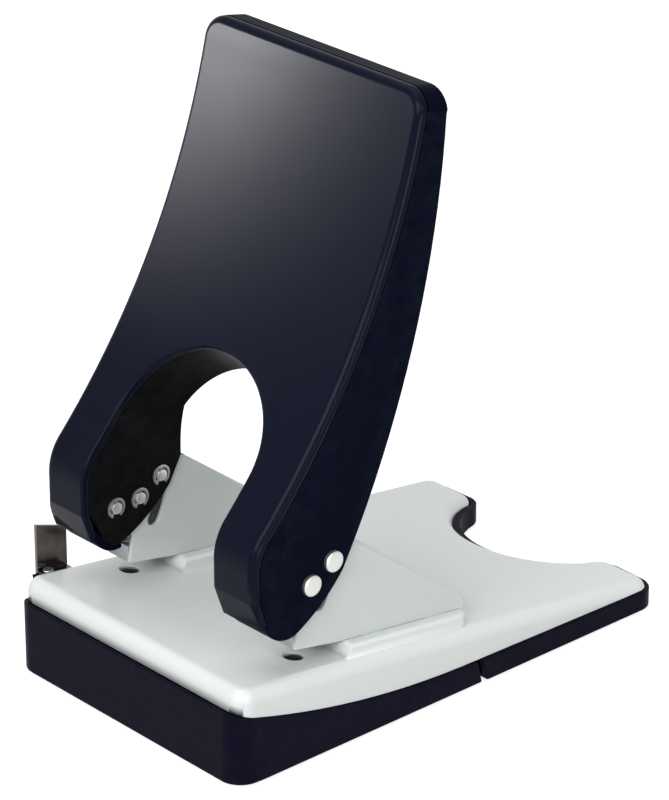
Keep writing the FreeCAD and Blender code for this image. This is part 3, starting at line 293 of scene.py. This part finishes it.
tray_plastic = finish_material(
    "tray_plastic", colour=(0.0037, 0.0031, 0.0115), rim_colour=(0.012, 0.011, 0.020), rough=(0.40, 0.50),
    grain=(2300.0, 0.8, 0.2), bump=0.30, dust=0.0005, wear=0.25, specular=0.025,
)
eased("chip_tray_box", "chip_tray", tray_plastic, "tray", radius=0.0005, steps=3)

# ==== Rear base
# The fixed back half of the base, moulded in the same dark plastic, with a round hand notch
# at the back. Four screws from below hold it to the steel plate.

notch_reach = 0.0385
underside = 0.00105
back_of_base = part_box("rear_base")[1].y


def middle_of(edge):
    """The point halfway along an edge."""
    return (edge.verts[0].co + edge.verts[1].co) / 2


def rear_rims(edge):
    """The rims that fingers meet: not the thin lips of the hand notch, nor the sunk seats underneath."""
    place = middle_of(edge)
    return place.z > underside and math.hypot(place.x, place.y - back_of_base) > notch_reach


eased(
    "rear_base_box", "rear_base", tray_plastic, "base", radius=0.0005, steps=3,
    chosen=rear_rims,
)

# ==== Feet
# Four soft rubber discs glued into the recesses under the tray and the rear base. Each has
# two shallow rings in its sole.

rubber = finish_material(
    "foot_rubber", colour=(0.018, 0.018, 0.019), rim_colour=(0.05, 0.05, 0.05), rough=(0.75, 0.9),
    grain=(1500.0, 0.4, 0.6), bump=0.4, dust=0.04, wear=0.4, specular=0.25,
)
foot_radius = 0.005
foot_height = 0.002
groove_depth = 0.0003
groove_slope = 0.0002


def sole_groove(inner, outer):
    """The outline of one shallow ring, with sloped sides."""
    bottom = [(inner + groove_slope, groove_depth), (outer - groove_slope, groove_depth)]
    return [(inner, 0.0), *bottom, (outer, 0.0)]


foot_outline = [
    (0.0, 0.0), *sole_groove(0.0016, 0.0024), *sole_groove(0.0036, 0.0043), (foot_radius - 0.0004, 0.0),
    (foot_radius - 0.0001, 0.0002), (foot_radius, 0.0005), (foot_radius, foot_height), (0.0, foot_height),
]


def turned(name, outline, centres, material, body, nodes, axis="Z", steps=48, smooth=35.0):
    """Round pieces: an outline of (radius, height) turned about an axis through each centre.

    A centre comes with a sign, +1 or -1, that says which way the outline's heights run.
    """
    shape = bmesh.new()
    for centre, sign in centres:
        rings = []
        for radius, height in outline:
            ring = []
            for step in range(steps if radius > 0 else 1):
                angle = math.tau * step / steps
                side, up = radius * math.cos(angle), radius * math.sin(angle)
                local = (height * sign, side, up) if axis == "X" else (side, up, height * sign)
                ring.append(shape.verts.new(Vector(centre) + Vector(local)))
            rings.append(ring)
        for low, high in zip(rings, rings[1:]):
            for step in range(steps):
                following = (step + 1) % steps
                corners = [low[step % len(low)], low[following % len(low)],
                           high[following % len(high)], high[step % len(high)]]
                unique = list(dict.fromkeys(corners))
                if len(unique) > 2:
                    shape.faces.new(unique)
    bmesh.ops.recalc_face_normals(shape, faces=shape.faces)
    return finished(shape, name, material, body, nodes, smooth)


def boxes_in(node):
    """The lowest and highest corner of each separate piece in a node."""
    shape = merged_copy(node)
    waiting = set(shape.verts)
    boxes = []
    for start in shape.verts:
        if start not in waiting:
            continue
        waiting.remove(start)
        piece = [start]
        for vertex in piece:
            for edge in vertex.link_edges:
                other = edge.other_vert(vertex)
                if other in waiting:
                    waiting.remove(other)
                    piece.append(other)
        low, high = (
            Vector(pick(vertex.co[axis] for vertex in piece) for axis in range(3)) for pick in (min, max)
        )
        boxes.append((low, high))
    shape.free()
    return boxes


def seats_in(node):
    """The middle of the underside of each piece in a node, and the piece's height."""
    return [
        (Vector(((low.x + high.x) / 2, (low.y + high.y) / 2, low.z)), high.z - low.z)
        for low, high in boxes_in(node)
    ]


for half in ("tray", "base"):
    seats = [(seat, 1) for seat, height in seats_in(half + "_feet")]
    turned(half + "_feet_pads", foot_outline, seats, rubber, half, [half + "_feet"])

# ==== Base plate and guide track
# A flat blanked sheet of bright zinc-plated steel that carries everything, and under the
# cover the moulded rails that the paper guide slides between.


def brushed_group():
    """Rolled or drawn metal: fine streaks along one direction, with faint blotches."""
    group, inside, outside = effect_group(
        "drawn_streaks", {"Stretch": (40.0, 900.0, 900.0)}, ["Streaks", "Blotches"],
    )
    scaled = add(group, "ShaderNodeVectorMath", operation="MULTIPLY")
    group.links.new(add(group, "ShaderNodeTexCoord").outputs["Object"], scaled.inputs[0])
    group.links.new(inside.outputs["Stretch"], scaled.inputs[1])
    streaks = add(group, "ShaderNodeTexNoise", {"Scale": 1.0, "Detail": 5.0, "Roughness": 0.7})
    group.links.new(scaled.outputs["Vector"], streaks.inputs["Vector"])
    blotches = pattern(group, "ShaderNodeTexNoise", {"Scale": 130.0, "Detail": 3.0})
    group.links.new(streaks.outputs["Fac"], outside.inputs["Streaks"])
    group.links.new(blotches.outputs["Fac"], outside.inputs["Blotches"])
    return group


DRAWN_STREAKS = brushed_group()


def metal_material(name, colour, dark, rough, stretch, bump=0.12):
    """Bare or plated metal with drawing marks."""
    rim_shine = 1.25
    material, tree, shader = new_material(name, Metallic=1.0)
    marks = group_node(tree, DRAWN_STREAKS, Stretch=stretch)
    rim = group_node(tree, RUBBED_EDGE_AND_HIGHLIGHT, Amount=0.6)
    base = tinted(tree, dark, colour, marks.outputs["Blotches"])
    bright = tuple(min(1.0, channel * rim_shine) for channel in colour)
    tree.links.new(tinted(tree, base, bright, rim.outputs["Mask"]), shader.inputs["Base Color"])
    tree.links.new(ranged(tree, marks.outputs["Streaks"], *rough), shader.inputs["Roughness"])
    relief(tree, shader, marks.outputs["Streaks"], strength=bump, depth=0.0001)
    return material


plate_zinc = metal_material(
    "plate_zinc", colour=(0.56, 0.57, 0.59), dark=(0.46, 0.47, 0.49), rough=(0.30, 0.45),
    stretch=(900.0, 45.0, 900.0),
)
eased("base_plate_sheet", "base_plate", plate_zinc, "base", radius=0.00015)
eased("guide_track_rails", "guide_track", tray_plastic, "base", radius=0.00015)

# ==== Cover of the base
# The pale cover is the paper table: one injection moulding, glossy and slightly cool grey, with
# two low ledges that the frames stand over and a soft round lip all the way round.

cover_plastic = finish_material(
    "cover_plastic", colour=(0.655, 0.695, 0.685), rim_colour=(0.70, 0.73, 0.725), rough=(0.31, 0.34),
    grain=(1700.0, 0.35, 0.8), bump=0.015, wear=0.15, coat=0.2, coat_rough=0.10, shade=0.015,
)
die_low, die_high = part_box("die_right")
punching_point = (die_low + die_high) / 2
hole_rim = 0.006


def punch_hole_rims(edge):
    """The rims of the two punch holes: the cover's lip is round in its node already."""
    place = middle_of(edge)
    return math.hypot(abs(place.x) - punching_point.x, place.y - punching_point.y) < hole_rim


eased(
    "table_cover", "base_cover", cover_plastic, "base", radius=0.00025, steps=3,
    chosen=punch_hole_rims, flat=0.2,
)

# ==== Screws
# Cross-recessed pan-head screws of zinc-plated steel: four hold the rear base, four hold the
# cover and four hold the handle's front panel. They are driven from below or from behind.

zinc_steel = metal_material(
    "screw_zinc", colour=(0.62, 0.63, 0.64), dark=(0.50, 0.50, 0.52), rough=(0.28, 0.40),
    stretch=(500.0, 500.0, 500.0),
)


def points_tree(name, sizes):
    """An empty tree that works on a mesh's points, with named inputs for its sizes and its finish."""
    tree = bpy.data.node_groups.new(name, "GeometryNodeTree")
    tree.interface.new_socket("Geometry", in_out="INPUT", socket_type="NodeSocketGeometry")
    sockets = {label: value_input(tree, label, default) for label, default in sizes.items()}
    finish = tree.interface.new_socket("Finish", in_out="INPUT", socket_type="NodeSocketMaterial")
    sockets["Finish"] = finish.identifier
    tree.interface.new_socket("Geometry", in_out="OUTPUT", socket_type="NodeSocketGeometry")
    return tree, sockets, add(tree, "NodeGroupInput"), add(tree, "NodeGroupOutput")


def copies_on_points(tree, inside, outside, piece, rotation=None):
    """Puts a copy of the piece on each point, makes the copies real and gives them their finish."""
    link = tree.links.new
    spread = add(tree, "GeometryNodeInstanceOnPoints")
    link(inside.outputs["Geometry"], spread.inputs["Points"])
    link(piece, spread.inputs["Instance"])
    if rotation is not None:
        link(rotation, spread.inputs["Rotation"])
    real = add(tree, "GeometryNodeRealizeInstances")
    link(spread.outputs["Instances"], real.inputs["Geometry"])
    painted = add(tree, "GeometryNodeSetMaterial")
    link(real.outputs["Geometry"], painted.inputs["Geometry"])
    link(inside.outputs["Finish"], painted.inputs["Material"])
    link(painted.outputs["Geometry"], outside.inputs["Geometry"])


def screw_tree():
    """A screw at each point of a mesh: its head on the point, its shank along the point's axis."""
    tree, sockets, inside, outside = points_tree("screw_set", {
        "Head Radius": 0.0028, "Head Height": 0.0016, "Shank Radius": 0.0015, "Length": 0.012,
        "Recess Width": 0.0007,
    })
    link = tree.links.new
    head_radius = inside.outputs["Head Radius"]
    head_height = inside.outputs["Head Height"]
    recess_width = inside.outputs["Recess Width"]
    recess_share = 1.15
    recess_length = maths(tree, "MULTIPLY", head_radius, recess_share)

    def drum(radius, height, sides, lift):
        made = add(tree, "GeometryNodeMeshCylinder", {"Vertices": sides}, fill_type="NGON")
        link(radius, made.inputs["Radius"])
        link(height, made.inputs["Depth"])
        moved = add(tree, "GeometryNodeTransform")
        shift = add(tree, "ShaderNodeCombineXYZ")
        link(lift, shift.inputs["Z"])
        link(made.outputs["Mesh"], moved.inputs["Geometry"])
        link(shift.outputs["Vector"], moved.inputs["Translation"])
        return moved.outputs["Geometry"]

    def recess_bar(length, width):
        made = add(tree, "GeometryNodeMeshCube")
        extent = add(tree, "ShaderNodeCombineXYZ")
        link(length, extent.inputs["X"])
        link(width, extent.inputs["Y"])
        link(head_height, extent.inputs["Z"])
        link(extent.outputs["Vector"], made.inputs["Size"])
        return made.outputs["Mesh"]

    head_middle = maths(tree, "MULTIPLY", head_height, 0.5)
    head = drum(head_radius, head_height, sides=40, lift=head_middle)
    shank_height = maths(tree, "SUBTRACT", inside.outputs["Length"], head_height)
    shank_middle = maths(tree, "ADD", head_height, maths(tree, "MULTIPLY", shank_height, 0.5))
    shank = drum(inside.outputs["Shank Radius"], shank_height, sides=28, lift=shank_middle)
    cutter = add(tree, "GeometryNodeJoinGeometry")
    link(recess_bar(recess_width, recess_length), cutter.inputs["Geometry"])
    link(recess_bar(recess_length, recess_width), cutter.inputs["Geometry"])
    carved = add(
        tree, "GeometryNodeMeshBoolean", {"Self Intersection": True}, operation="DIFFERENCE", solver="EXACT",
    )
    link(head, carved.inputs["Mesh 1"])
    link(cutter.outputs["Geometry"], carved.inputs["Mesh 2"])
    whole = add(tree, "GeometryNodeJoinGeometry")
    link(carved.outputs["Mesh"], whole.inputs["Geometry"])
    link(shank, whole.inputs["Geometry"])
    axis = add(tree, "GeometryNodeInputNamedAttribute", {"Name": "axis"}, data_type="FLOAT_VECTOR")
    aimed = add(tree, "FunctionNodeAlignRotationToVector", axis="Z")
    link(axis.outputs["Attribute"], aimed.inputs["Vector"])
    copies_on_points(tree, inside, outside, whole.outputs["Geometry"], aimed.outputs["Rotation"])
    return tree, sockets


SCREW_SET = screw_tree()


def grown(name, tree_and_sockets, values, points, axes=(), round_radius=0.0):
    """Runs a Geometry Nodes tree on points and returns its result as an editable mesh."""
    same_place = 1e-6
    tree, sockets = tree_and_sockets
    seed = bpy.data.meshes.new(name + "_points")
    seed.from_pydata([tuple(point) for point in points], [], [])
    if axes:
        attribute = seed.attributes.new("axis", "FLOAT_VECTOR", "POINT")
        for item, axis in zip(attribute.data, axes):
            item.vector = axis
    holder = bpy.data.objects.new(name + "_holder", seed)
    bpy.context.scene.collection.objects.link(holder)
    modifier = holder.modifiers.new("nodes", "NODES")
    modifier.node_group = tree
    for label, value in values.items():
        modifier[sockets[label]] = value
    bpy.context.view_layer.update()
    evaluated = holder.evaluated_get(bpy.context.evaluated_depsgraph_get())
    mesh = bpy.data.meshes.new_from_object(evaluated)
    holder.modifiers.clear()
    bpy.data.objects.remove(holder)
    shape = bmesh.new()
    shape.from_mesh(mesh)
    bmesh.ops.remove_doubles(shape, verts=shape.verts, dist=same_place)
    if round_radius:
        rim_rounded(shape, round_radius, steps=2, corner=50.0)
    return shape


def screws(name, node, body, places):
    """A node's screws, each given by the middle of its head's face, the way it points and its length."""
    shape = bmesh.new()
    for seat, axis, length in places:
        values = {"Length": length, "Finish": zinc_steel}
        made = grown(name, SCREW_SET, values, [seat], [axis], round_radius=0.0002)
        one_screw = bpy.data.meshes.new("one_screw")
        made.to_mesh(one_screw)
        made.free()
        shape.from_mesh(one_screw)
    return finished(shape, name, zinc_steel, body, [node])


upward = Vector((0.0, 0.0, 1.0))
for name, node in (("rear_base_screws", "base_screws"), ("table_cover_screws", "cover_screws")):
    screws(name, node, "base", [(seat, upward, height) for seat, height in seats_in(node)])

# ==== Dies
# Two hardened steel bushes pressed into the steel plate. Their bores are ground to a sharp
# edge that shears the paper, and widen below so that the chips fall through.

tool_steel = metal_material(
    "tool_steel", colour=(0.46, 0.46, 0.47), dark=(0.34, 0.34, 0.36), rough=(0.28, 0.38),
    stretch=(700.0, 700.0, 60.0),
)
for side in ("right", "left"):
    eased("die_bush_" + side, "die_" + side, tool_steel, "base", radius=0.0001, corner=50.0)

# ==== Punch frames
# Each punch runs in a channel folded from 1.4 mm sheet steel, painted pale grey and baked. Its
# tabs pass through the cover and are staked under the steel plate.

frame_enamel = finish_material(
    "frame_enamel", colour=(0.560, 0.600, 0.590), rim_colour=(0.64, 0.67, 0.66), rough=(0.36, 0.44),
    grain=(1100.0, 0.15, 1.6), bump=0.06, wear=0.3, coat=0.15, coat_rough=0.25, shade=0.03,
)
frame_foot = 0.0322


def frame_rims(edge):
    """The folded sheet's edges above the table: its feet and tabs keep their sheared edges."""
    return min(end.co.z for end in edge.verts) > frame_foot


for side in ("right", "left"):
    eased(
        "punch_frame_" + side, "frame_" + side, frame_enamel, "base", radius=0.00028, steps=3,
        chosen=frame_rims,
    )

# ==== Punches, guide blocks and return springs
# The hardened punches slide in a steel block between the frame's plates. Each one hangs in
# the fork around the handle's drive pin, with a coil spring under its head to lift it.

for side in ("right", "left"):
    eased(
        "guide_block_" + side, "punch_guide_" + side, plate_zinc, "base", radius=0.0002,
        corner=50.0,
    )
    eased(
        "cutting_punch_" + side, "punch_" + side, tool_steel, side + "_punch", radius=0.00006,
        corner=50.0,
    )

wire_radius = 0.00035


def spring_tree():
    """A round wire wound at an even pitch, standing on each point of a mesh."""
    tree, sockets, inside, outside = points_tree("return_spring", {
        "Turns": 6.0, "Coil Radius": 0.00405, "Wire Radius": wire_radius, "Height": 0.01,
    })
    link = tree.links.new
    coil = add(tree, "GeometryNodeCurveSpiral", {"Resolution": 40})
    link(inside.outputs["Turns"], coil.inputs["Rotations"])
    link(inside.outputs["Coil Radius"], coil.inputs["Start Radius"])
    link(inside.outputs["Coil Radius"], coil.inputs["End Radius"])
    link(inside.outputs["Height"], coil.inputs["Height"])
    wire = add(tree, "GeometryNodeCurvePrimitiveCircle", {"Resolution": 10})
    link(inside.outputs["Wire Radius"], wire.inputs["Radius"])
    swept = add(tree, "GeometryNodeCurveToMesh", {"Fill Caps": True})
    link(coil.outputs["Curve"], swept.inputs["Curve"])
    link(wire.outputs["Curve"], swept.inputs["Profile Curve"])
    copies_on_points(tree, inside, outside, swept.outputs["Mesh"])
    return tree, sockets


SPRING_WINDING = spring_tree()
spring_steel = metal_material(
    "spring_steel", colour=(0.42, 0.42, 0.43), dark=(0.28, 0.28, 0.30), rough=(0.28, 0.4),
    stretch=(900.0, 900.0, 900.0),
)
for side in ("right", "left"):
    low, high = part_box("spring_" + side)
    stand = ((low.x + high.x) / 2, (low.y + high.y) / 2, low.z + wire_radius)
    values = {"Height": high.z - low.z - 2 * wire_radius, "Finish": spring_steel}
    spring = finished(
        grown("spring", SPRING_WINDING, values, [stand]), "return_spring_" + side, spring_steel, "base",
        ["spring_" + side], smooth=70.0,
    )
    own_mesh(spring)

# ==== Handle's steel core
# A pressed steel channel, enamelled black: two cheeks beside each frame, joined by the round
# wall of the arch and by the web behind the front panel.

black_enamel = finish_material(
    "black_enamel", colour=(0.0018, 0.0018, 0.0024), rim_colour=(0.012, 0.012, 0.014), rough=(0.34, 0.44),
    grain=(1300.0, 0.2, 1.2), bump=0.10, dust=0.0002, wear=0.4, specular=0.035,
)
eased("handle_core", "handle_frame", black_enamel, "handle", radius=0.0002)

# ==== Pins and their rings
# Three turned steel pins on each side: the handle's pivot, the one that drives the punch and
# the one that stops the stroke. Each has a round head outside and an E-shaped ring inside.

pin_steel = metal_material(
    "pin_steel", colour=(0.62, 0.62, 0.595), dark=(0.58, 0.58, 0.555), rough=(0.34, 0.44),
    stretch=(600.0, 600.0, 600.0), bump=0.02,
)
pin_radius = 0.0020
groove_radius = 0.0016
inner_end = 0.0310
groove_start = 0.03145
groove_end = 0.03225
head_radius = 0.0035
head_chamfer = 0.0001
button_seat = 0.0500
hidden_seat = 0.0477
shank_outline = [
    (0.0, inner_end), (groove_radius, inner_end), (0.0019, inner_end + 0.0001),
    (pin_radius, inner_end + 0.00035), (pin_radius, groove_start), (groove_radius, groove_start),
    (groove_radius, groove_end), (pin_radius, groove_end),
]


def head_outline(seat, rim_height, crown):
    """A pin's head: its seat, a straight rim, and a crown of (radius, height) above the seat."""
    rim = [(head_radius, seat + head_chamfer), (head_radius, seat + rim_height)]
    top = [(radius, seat + height) for radius, height in crown]
    return [(pin_radius, seat), (head_radius - head_chamfer, seat), *rim, *top]


button_crown = [
    (0.00342, 0.00135), (0.0032, 0.00153), (0.0028, 0.00166), (0.0020, 0.00175), (0.0010, 0.0018),
    (0.0, 0.0018),
]
hidden_crown = [(0.0033, 0.0010), (0.0, 0.0010)]
button_outline = shank_outline + head_outline(button_seat, 0.0011, button_crown)
hidden_outline = shank_outline + head_outline(hidden_seat, 0.0008, hidden_crown)
pin_outlines = {"pivot_pin": hidden_outline, "drive_pin": button_outline, "stop_pin": button_outline}
pin_centres = []
for stem, outline in pin_outlines.items():
    low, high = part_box(stem + "_right")
    centre = Vector((0.0, (low.y + high.y) / 2, (low.z + high.z) / 2))
    pin_centres.append(centre)
    for side, sign in (("right", 1), ("left", -1)):
        turned(
            stem + "_turned_" + side, outline, [(centre, sign)], pin_steel, "handle",
            [stem + "_" + side], axis="X",
        )


def ring_shape():
    """One E-shaped ring, flat in its own XY plane: three prongs reach the groove, the mouth opens to -Y."""
    outer, pocket, seat, thickness = 0.0035, 0.0025, 0.00165, 0.0007
    half_mouth = math.radians(28.0)
    top_prong, side_prongs = 16.0, 128.0
    steps = 72
    shape = bmesh.new()
    rows = []
    for step in range(steps + 1):
        turn = -math.pi / 2 + half_mouth + (math.tau - 2 * half_mouth) * step / steps
        from_top = abs(math.degrees(turn - math.pi / 2))
        inner = seat if from_top < top_prong or from_top > side_prongs else pocket
        rows.append([(radius * math.cos(turn), radius * math.sin(turn)) for radius in (inner, outer)])
    low, high = (
        [[shape.verts.new((x, y, level)) for x, y in row] for row in rows]
        for level in (-thickness / 2, thickness / 2)
    )
    for a, b, c, d in zip(low, low[1:], high, high[1:]):
        shape.faces.new((a[0], a[1], b[1], b[0]))
        shape.faces.new((c[0], d[0], d[1], c[1]))
        shape.faces.new((a[1], c[1], d[1], b[1]))
        shape.faces.new((a[0], b[0], d[0], c[0]))
    for a, c in ((low[0], high[0]), (low[-1], high[-1])):
        shape.faces.new((a[0], c[0], c[1], a[1]))
    bmesh.ops.recalc_face_normals(shape, faces=shape.faces)
    return rim_rounded(shape, radius=0.00008, steps=2, corner=50.0)


def ring_tree():
    """Puts a copy of one piece on each point, flat across the X axis."""
    tree, sockets, inside, outside = points_tree("ring_set", {})
    ring = tree.interface.new_socket("Ring", in_out="INPUT", socket_type="NodeSocketObject")
    sockets["Ring"] = ring.identifier
    piece = add(tree, "GeometryNodeObjectInfo")
    tree.links.new(inside.outputs["Ring"], piece.inputs["Object"])
    across = add(tree, "ShaderNodeCombineXYZ", {"X": math.pi / 2, "Z": math.pi / 2})
    copies_on_points(tree, inside, outside, piece.outputs["Geometry"], across.outputs["Vector"])
    return tree, sockets


ring_steel = metal_material(
    "ring_steel", colour=(0.38, 0.37, 0.36), dark=(0.24, 0.23, 0.23), rough=(0.28, 0.36),
    stretch=(700.0, 700.0, 700.0),
)
ring_mesh = bpy.data.meshes.new("ring_pattern")
one_ring = ring_shape()
one_ring.to_mesh(ring_mesh)
one_ring.free()
ring_pattern = bpy.data.objects.new("ring_pattern", ring_mesh)
bpy.context.scene.collection.objects.link(ring_pattern)
ring_middle = (groove_start + groove_end) / 2
ring_points = [(side * ring_middle, centre.y, centre.z) for centre in pin_centres for side in (1, -1)]
rings = grown("rings", ring_tree(), {"Ring": ring_pattern, "Finish": ring_steel}, ring_points)
finished(rings, "pin_rings", ring_steel, "handle", ["e_rings"])
bpy.data.objects.remove(ring_pattern)

# ==== Handle's screws
# Four short screws from behind the web hold the front panel. They stand square to its curve,
# an arc about a line well in front of the handle.

table_height = 0.029
curve_radius = 0.2651
curve_rise = 0.2295
curve_ahead = 0.21296
curve_centre = Vector((0.0, punching_point.y - curve_ahead, table_height + curve_rise))
screw_behind = 0.0029
screw_length = 0.00491
screw_places = []
for rise in (0.100, 0.158):
    tilt = math.asin((rise - curve_rise) / curve_radius)
    outward = Vector((0.0, -math.cos(tilt), -math.sin(tilt)))
    seat = curve_centre - outward * (curve_radius + screw_behind)
    for x in (-0.032, 0.032):
        screw_places.append(((x, seat.y, seat.z), outward, screw_length))
screws("handle_panel_screws", "handle_screws", "handle", screw_places)

# ==== Handle shell
# The navy outer shell of the handle: one moulding, with two flat side walls, a narrow rim
# round the open back and a groove where it meets the front panel.

# The rims' lighter navy is partly wear and partly a painted highlight along the handle's crowned and rounded
# edges.
navy_rim_wear_and_highlight = (0.012, 0.016, 0.030)
shell_plastic = finish_material(
    "shell_plastic", colour=(0.0023, 0.0035, 0.0108), rim_colour=navy_rim_wear_and_highlight, rough=(0.34, 0.42),
    grain=(2100.0, 0.7, 0.5), bump=0.12, dust=0.0003, wear=0.3, specular=0.008,
)
outer_side = 0.0499
head_reach = 0.0045


def side_rims(edge):
    """The long outlines of the two side walls, but not the pins' holes, which the heads cover."""
    place = middle_of(edge)
    at_pin = any(math.hypot(place.y - pin.y, place.z - pin.z) < head_reach for pin in pin_centres)
    return min(abs(end.co.x) for end in edge.verts) > outer_side and not at_pin


eased(
    "handle_side_shell", "handle_shell", shell_plastic, "handle", radius=0.0009, steps=4,
    chosen=side_rims,
)

# ==== Front panel of the handle
# The long curved panel that the hand pushes: thick satin-moulded plastic, crowned at its
# edges, with the arch for the fingers cut out between its two legs.

panel_plastic = finish_material(
    "panel_plastic", colour=(0.0022, 0.0034, 0.0125), rim_colour=navy_rim_wear_and_highlight, rough=(0.235, 0.26),
    grain=(1900.0, 0.8, 0.5), bump=0.06, dust=0.0005, wear=0.1, specular=0.06,
)
arch_side = 0.0325
arch_top = 0.122


def arch_rims(edge):
    """The mouth of the finger arch: the panel's outer rim is crowned already."""
    return all(abs(end.co.x) < arch_side and end.co.z < arch_top for end in edge.verts)


eased(
    "handle_front_panel", "handle_cover", panel_plastic, "handle", radius=0.0009, steps=4,
    chosen=arch_rims, flat=0.2,
)

# ==== Paper guide
# A polished steel strip that slides out from under the table. Its bent-up flag stops the
# paper's side, and a moulded knob is riveted under it for the fingers.

# Its dark brown colour is a painted reflection: the polished steel showing dark surroundings.
guide_steel_painted_reflection = metal_material(
    "guide_steel_painted_reflection", colour=(0.165, 0.146, 0.137), dark=(0.10, 0.087, 0.082), rough=(0.12, 0.22),
    stretch=(45.0, 900.0, 45.0), bump=0.05,
)
eased("guide_strip", "guide_bar", guide_steel_painted_reflection, "guide", radius=0.00015)
eased("guide_finger_knob", "guide_knob", tray_plastic, "guide", radius=0.0002)
eased("guide_stud", "guide_rivet", zinc_steel, "guide", radius=0.00015, corner=50.0)

# ==== Studio
# A plain pale floor that shows white to the camera but keeps the soft shadow, a white
# surround, five soft lamps and the camera. The two small lamps are for the handle's front and edge.


def seen_directly(tree):
    """1 where the camera looks, straight or by way of a mirror or glass, and 0 for light on other things."""
    paths = add(tree, "ShaderNodeLightPath")
    through = maths(tree, "MAXIMUM", paths.outputs["Is Glossy Ray"], paths.outputs["Is Transmission Ray"])
    return maths(tree, "MAXIMUM", paths.outputs["Is Camera Ray"], through)


floor_reach = 6.0
floor_glow = 0.76
floor_corners = [(floor_reach * x, floor_reach * y, 0.0) for x, y in ((-1, -1), (1, -1), (1, 1), (-1, 1))]
floor_mesh = bpy.data.meshes.new("floor")
floor_mesh.from_pydata(floor_corners, [], [(0, 1, 2, 3)])
floor = bpy.data.objects.new("floor", floor_mesh)
bpy.context.scene.collection.objects.link(floor)
floor_paper, tree, shader = new_material(
    "floor_paper", Base_Color=(0.50, 0.50, 0.50, 1.0), Roughness=0.9, Specular_IOR_Level=0.0,
)
glow = add(tree, "ShaderNodeEmission", {"Color": (1.0, 1.0, 1.0, 1.0)})
tree.links.new(maths(tree, "MULTIPLY", seen_directly(tree), floor_glow), glow.inputs["Strength"])
both = add(tree, "ShaderNodeAddShader")
tree.links.new(shader.outputs["BSDF"], both.inputs[0])
tree.links.new(glow.outputs["Emission"], both.inputs[1])
tree.links.new(both.outputs["Shader"], tree.nodes["Material Output"].inputs["Surface"])
floor_mesh.materials.append(floor_paper)

room_light = 0.46
world = bpy.data.worlds.new("surround")
bpy.context.scene.world = world
world.use_nodes = True
tree = world.node_tree
background = tree.nodes["Background"]
background.inputs["Color"].default_value = (1.0, 1.0, 1.0, 1.0)
tree.links.new(ranged(tree, seen_directly(tree), room_light, 1.0), background.inputs["Strength"])


def soft_lamp(name, place, target, width, depth, power, spread=180.0):
    """A box of soft light at a place, turned to a target. A smaller spread narrows its beam."""
    lamp = bpy.data.lights.new(name, "AREA")
    lamp.shape = "RECTANGLE"
    lamp.size = width
    lamp.size_y = depth
    lamp.energy = power
    lamp.spread = math.radians(spread)
    made = bpy.data.objects.new(name, lamp)
    bpy.context.scene.collection.objects.link(made)
    made.location = place
    made.visible_camera = False
    made.rotation_mode = "QUATERNION"
    made.rotation_quaternion = (Vector(target) - Vector(place)).to_track_quat("-Z", "Y")


soft_lamp(
    "overhead_box", place=(-0.15, -0.1, 1.3), target=(0.0, 0.0, 0.05), width=1.2, depth=1.0, power=6.0,
)
soft_lamp(
    "front_box", place=(0.5, -1.05, 0.8), target=(0.0, 0.0, 0.05), width=0.9, depth=0.7, power=12.0,
)
soft_lamp(
    "handle_box", place=(-0.255, -0.215, 0.180), target=(-0.045, -0.03, 0.230), width=0.05, depth=0.05,
    power=0.064, spread=56.0,
)
soft_lamp(
    "right_box", place=(1.1, -0.2, 0.75), target=(0.0, 0.0, 0.09), width=0.35, depth=0.35, power=2.3,
)
soft_lamp(
    "edge_box", place=(0.95, -0.28, 0.10), target=(0.05, -0.05, 0.17), width=0.30, depth=0.05,
    power=0.16, spread=60.0,
)

camera_place = Vector((0.8673, -0.7878, 0.6241))
level = Vector((0.6708, 0.7417, 0.0)).normalized()
sight = Vector((-0.6739, 0.6095, -0.4177)).normalized()
up = level.cross(sight).normalized()
sight = up.cross(level).normalized()
camera_data = bpy.data.cameras.new("camera")
camera_data.lens = 180.98
camera_data.sensor_width = 36.0
camera_data.clip_start = 0.05
camera_data.clip_end = 20.0
camera = bpy.data.objects.new("camera", camera_data)
bpy.context.scene.collection.objects.link(camera)
placed = Matrix((level, up, -sight)).transposed().to_4x4()
placed.translation = camera_place
camera.matrix_world = placed
bpy.context.scene.camera = camera
bpy.context.scene.view_settings.view_transform = "Standard"
